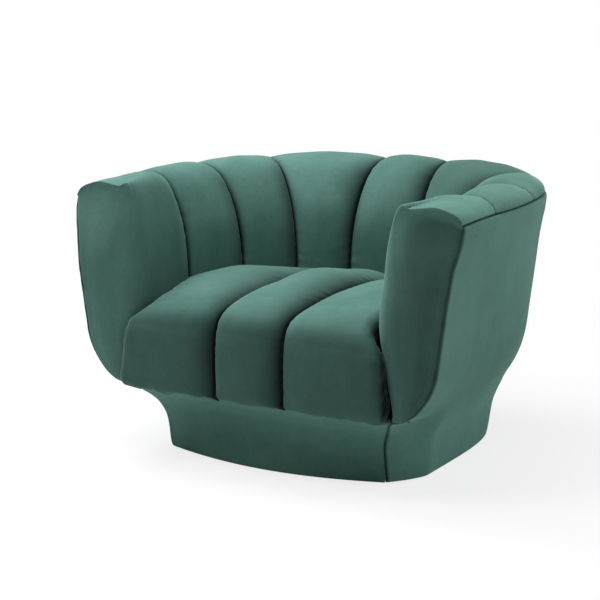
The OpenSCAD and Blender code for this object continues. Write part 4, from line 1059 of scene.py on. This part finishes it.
# Foam core in its black cover, a little inside the solid's faces
foamCover = dict(inset=2.5)
print("foam core")
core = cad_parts["seat_foam_core"].data.copy()
shrunk = [v.co - v.normal * foamCover["inset"] / 1000 for v in core.vertices]
for vertex, co in zip(core.vertices, shrunk):
    vertex.co = co
core.materials.clear()
core.materials.append(finishes["lining_cloth"])
foamCore = addObject("seatFoamCore", core)
attach(foamCore, "seat_foam_core")

# Cloth under the plinth: outline from the frame, small puckers between its staples
dust = dict(grid=91, height=7.05, thick=0.7, sag=2.0, wave=0.25, waves=(10, 60, 300), pucker=0.45,
            puckerReach=16, outline=1601)
staple = dict(pitch=32, inset=7, width=10, height=1.0, thick=0.5, lift=0.1)


def angleFrom(centre, points):
    return np.arctan2(points[:, 1] - centre[1], points[:, 0] - centre[0])


def dustOutline(count):
    co = np.array([v.co[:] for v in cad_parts["dust_cover"].data.vertices]) * 1000
    co = np.unique(np.round(co[:, :2], 2), axis=0)
    centre = (co.max(0) + co.min(0)) / 2
    co = co[np.argsort(angleFrom(centre, co))]
    ring = np.concatenate([co, co[:1]])
    chord = arcLength(ring, 0)
    run = np.linspace(0, chord[-1], count)
    return np.stack([np.interp(run, chord, ring[:, k]) for k in range(2)], -1), centre, run


outline, dustCentre, outlineRun = dustOutline(dust["outline"])
outlineAngle = np.unwrap(angleFrom(dustCentre, outline))


def dustRings():
    side = np.linspace(-1, 1, dust["grid"])
    u, w = np.meshgrid(side, side)
    angle = outlineAngle[0] + (np.arctan2(w, u) - outlineAngle[0]) % (2 * np.pi)
    edge = np.stack([np.interp(angle, outlineAngle, outline[:, k]) for k in range(2)], -1)
    flat = mix(dustCentre, edge, np.maximum(np.abs(u), np.abs(w))[..., None])
    inward = np.linalg.norm(edge - flat, axis=-1)
    pitch = outlineRun[-1] / round(outlineRun[-1] / staple["pitch"])
    between = 0.5 - 0.5 * np.cos(2 * np.pi * np.interp(angle, outlineAngle, outlineRun) / pitch)
    z = dust["height"] - dust["sag"] * smooth(inward, 60, 260)
    z -= dust["pucker"] * between * fade(inward, dust["puckerReach"])
    z -= dust["wave"] * np.abs(Waves(71, *dust["waves"], 2)(flat)) * smooth(inward, 20, 120)
    low = np.concatenate([flat, z[..., None]], -1)
    return closed(low, low + [0, 0, dust["thick"]])


print("dust cover")
dustCover = loftMesh("dustCover", dustRings(), finishes["dust_cloth"])
attach(dustCover, "dust_cover")


# Loops of wire or thread set along a path, each with its crown away from the surface
def loopsGroup():
    group = bpy.data.node_groups.new("rowOfLoops", "GeometryNodeTree")
    for name, kind, value in (
            ("Path", "Geometry", None), ("Pitch", "Float", 0.032), ("Loop Width", "Float", 0.01),
            ("Loop Height", "Float", 0.001), ("Thread Radius", "Float", 0.0006), ("Turn", "Float", 0.0),
            ("Unevenness", "Float", 0.05), ("Seed", "Int", 3), ("Finish", "Material", None)):
        socket = group.interface.new_socket(name, in_out="INPUT", socket_type="NodeSocket" + kind)
        if value is not None:
            socket.default_value = value
    group.interface.new_socket("Loops", in_out="OUTPUT", socket_type="NodeSocketGeometry")
    given = group.nodes.new("NodeGroupInput").outputs

    def node(kind, inputs=(), **settings):
        return addNode(group, kind, inputs, **settings).outputs[0]

    ends = {}
    for name, side in (("Start", -0.5), ("End", 0.5)):
        x = maths(group, "MULTIPLY", given["Loop Width"], side)
        ends[name] = node("ShaderNodeCombineXYZ", {"X": x})
        ends[name + " Handle"] = node("ShaderNodeCombineXYZ", {"X": x, "Z": given["Loop Height"]})
    arc = node("GeometryNodeCurvePrimitiveBezierSegment", {"Resolution": 8, **ends})
    thread = node("GeometryNodeCurvePrimitiveCircle", {"Resolution": 6, "Radius": given["Thread Radius"]})
    loop = node("GeometryNodeCurveToMesh", {"Curve": arc, "Profile Curve": thread, "Fill Caps": True})
    path = node("GeometryNodeMeshToCurve", {"Mesh": given["Path"]})
    spaced = node("GeometryNodeResampleCurve", {"Curve": path, "Length": given["Pitch"]}, mode="LENGTH")
    outward = node("GeometryNodeInputNamedAttribute", {"Name": "outward"}, data_type="FLOAT_VECTOR")
    tangent, align = node("GeometryNodeInputTangent"), "FunctionNodeAlignRotationToVector"
    alongPath = node(align, {"Vector": tangent}, axis="X")
    upright = node(align, {"Rotation": alongPath, "Vector": outward}, axis="Z", pivot_axis="X")
    # Inputs 2 and 3 and output 1 of a random value node are its float ones
    least = maths(group, "MULTIPLY", given["Unevenness"], -1)
    limits = {2: least, 3: given["Unevenness"], "Seed": given["Seed"]}
    wobble = addNode(group, "FunctionNodeRandomValue", limits, data_type="FLOAT").outputs[1]
    turnAbout = node("ShaderNodeCombineXYZ", {"Z": maths(group, "ADD", given["Turn"], wobble)})
    turning = {"Rotation": upright, "Rotate By": node("FunctionNodeEulerToRotation", {0: turnAbout})}
    turned = node("FunctionNodeRotateRotation", turning, rotation_space="LOCAL")
    placed = node("GeometryNodeInstanceOnPoints", {"Points": spaced, "Instance": loop, "Rotation": turned})
    real = node("GeometryNodeRealizeInstances", {0: placed})
    finished = node("GeometryNodeSetMaterial", {"Geometry": real, "Material": given["Finish"]})
    group.links.new(finished, group.nodes.new("NodeGroupOutput").inputs[0])
    return group


rowOfLoops = loopsGroup()


def loopsAlong(name, runs, outwards, size, turn, unevenness, seed, look):
    points, edges, ways = [], [], []
    for run, way in zip(runs, outwards):
        edges += [(len(points) + k, len(points) + k + 1) for k in range(len(run) - 1)]
        points += (run / 1000).tolist()
        ways.append(np.broadcast_to(way, run.shape))
    mesh = bpy.data.meshes.new(name + "Path")
    mesh.from_pydata(points, edges, [])
    layer = mesh.attributes.new("outward", "FLOAT_VECTOR", "POINT")
    layer.data.foreach_set("vector", np.concatenate(ways).astype(np.float32).ravel())
    holder = addObject(name + "Path", mesh)
    modifier = holder.modifiers.new("rowOfLoops", "NODES")
    modifier.node_group = rowOfLoops
    values = {"Turn": turn, "Unevenness": unevenness, "Seed": seed, "Finish": look[0]}
    for key, value in (("Pitch", "pitch"), ("Loop Width", "width"), ("Loop Height", "height"),
                       ("Thread Radius", "thick")):
        values[key] = size[value] / 1000
    for item in rowOfLoops.interface.items_tree:
        if item.name in values:
            modifier[item.identifier] = values[item.name]
    bpy.context.view_layer.update()
    made = bpy.data.meshes.new_from_object(holder.evaluated_get(bpy.context.evaluated_depsgraph_get()))
    made.name = name
    made.shade_smooth()
    bpy.data.objects.remove(holder)
    attach(addObject(name, made))


print("staples and stitches")
toCentre = dustCentre - outline
toCentre /= np.linalg.norm(toCentre, axis=1)[:, None]
stapleRun = np.concatenate([outline + toCentre * staple["inset"],
                            np.full((len(outline), 1), dust["height"] - staple["lift"])], 1)
loopsAlong("dustCoverStaples", [stapleRun], [(0, 0, -1)], staple, 0.0, 0.12, 5, (finishes["steel"], "steel"))

# Ladder stitches that close the outer back along its two seams
stitch = dict(pitch=7, width=3.4, height=0.5, thick=0.45, sunk=2.6, rows=160, skipEnds=4)
threadLook = dict(velvetLook, dark=(0.05, 0.11, 0.095), middle=(0.08, 0.17, 0.15), light=(0.12, 0.24, 0.21),
                  sheen=0.4)
seamRows = shellRows(stitch["rows"])[stitch["skipEnds"]:-stitch["skipEnds"]]
seamRuns, seamWays = [], []
for angle in (chair["panelSeamAngle"], 180 - chair["panelSeamAngle"]):
    run = shellRound(seamRows, angle)
    way = np.cross(shellRound(seamRows, angle + 0.5) - run, np.gradient(run, axis=0))
    way /= np.linalg.norm(way, axis=1)[:, None]
    way *= np.sign((way * (run - outerPanel["bodyCentre"])).sum())
    seamRuns.append(run - way * stitch["sunk"])
    seamWays.append(way)
loopsAlong("outerBackStitches", seamRuns, seamWays, stitch, math.pi / 2, 0.1, 8,
           (velvet("sewingThread", threadLook, None), "velvet_panels"))

# Studio: pale floor, soft lights, camera
studio = dict(cameraAngles=(29.9976, 11.9509), distance=4.03792, target=(0, -0.056, 0.330), lens=96,
              sensor=36, shift=(-0.0478, 0.0214), world=0.02, floorColour=(0.82, 0.82, 0.82), floorHalf=12,
              glowFrom=0.75, glowTo=2.2, glowLeast=0.78, aim=(0, 0, 0.35), lamps=dict(
                  topSoftbox=((0, 0, 3.2), 2.4, 44), topLeftSoftbox=((-1.9, 0.2, 2.6), 1.4, 66),
                  topFrontSoftbox=((-0.8, -1.5, 3.0), 1.6, 56), leftSoftbox=((-3.4, -0.2, 1.6), 1.6, 26),
                  rightTopSoftbox=((2.2, 0.3, 2.4), 1.4, 26), rightSoftbox=((3.4, 0.9, 0.75), 1.5, 38)))


def addCamera():
    az, el = (math.radians(a) for a in studio["cameraAngles"])
    back = Vector((math.sin(az) * math.cos(el), -math.cos(az) * math.cos(el), math.sin(el)))
    camera = addObject("camera", bpy.data.cameras.new("camera"))
    camera.location = Vector(studio["target"]) + back * studio["distance"]
    camera.rotation_euler = (-back).to_track_quat("-Z", "Y").to_euler()
    camera.data.lens, camera.data.sensor_width = studio["lens"], studio["sensor"]
    camera.data.shift_x, camera.data.shift_y = studio["shift"]
    bpy.context.scene.camera = camera


# White where the camera, a mirror or glass sees it, and faint as a light
def addWorld():
    world = bpy.data.worlds.new("studio")
    bpy.context.scene.world = world
    world.use_nodes = True
    tree = world.node_tree
    white = (1, 1, 1, 1)
    setInputs(tree, tree.nodes["Background"], {"Color": white, "Strength": studio["world"]})
    seen = addNode(tree, "ShaderNodeLightPath").outputs
    direct = maths(tree, "MAXIMUM", seen["Is Camera Ray"], seen["Is Glossy Ray"])
    direct = maths(tree, "MAXIMUM", direct, seen["Is Transmission Ray"])
    bright = addNode(tree, "ShaderNodeBackground", {"Color": white, "Strength": 1}).outputs[0]
    faint = tree.nodes["Background"].outputs[0]
    choose = addNode(tree, "ShaderNodeMixShader", {0: direct, 1: faint, 2: bright})
    setInputs(tree, tree.nodes["World Output"], {"Surface": choose.outputs[0]})


# The floor glows a little for the camera, and fades to white away from the chair
def addFloor():
    finish, half = Finish("paleFloor"), studio["floorHalf"]
    tree = finish.tree
    setInputs(tree, finish.shader, {
        "Base Color": (*studio["floorColour"], 1), "Roughness": 0.9, "Specular IOR Level": 0})
    length = addNode(tree, "ShaderNodeVectorMath", {0: finish.place}, operation="LENGTH").outputs["Value"]
    reach = finish.ranged(length, studio["glowFrom"], studio["glowTo"], studio["glowLeast"], 1)
    factor = maths(tree, "MULTIPLY", reach, addNode(tree, "ShaderNodeLightPath").outputs["Is Camera Ray"])
    glow = addNode(tree, "ShaderNodeEmission", {"Color": (1, 1, 1, 1), "Strength": 1}).outputs[0]
    choose = addNode(tree, "ShaderNodeMixShader", {0: factor, 1: finish.shader.outputs[0], 2: glow})
    setInputs(tree, tree.nodes["Material Output"], {"Surface": choose.outputs[0]})
    mesh = bpy.data.meshes.new("floor")
    corners = [(half * x, half * y, 0) for x, y in ((-1, -1), (1, -1), (1, 1), (-1, 1))]
    mesh.from_pydata(corners, [], [(0, 1, 2, 3)])
    mesh.materials.append(finish.material)
    addObject("floor", mesh)


def addLamps():
    for name, (place, size, power) in studio["lamps"].items():
        light = bpy.data.lights.new(name, "AREA")
        light.shape, light.size, light.energy = "DISK", size, power
        lamp = addObject(name, light)
        lamp.location = place
        lamp.rotation_euler = (Vector(place) - Vector(studio["aim"])).to_track_quat("Z", "Y").to_euler()


print("studio")
addCamera()
addWorld()
addFloor()
addLamps()
bpy.context.scene.view_settings.view_transform = "Standard"
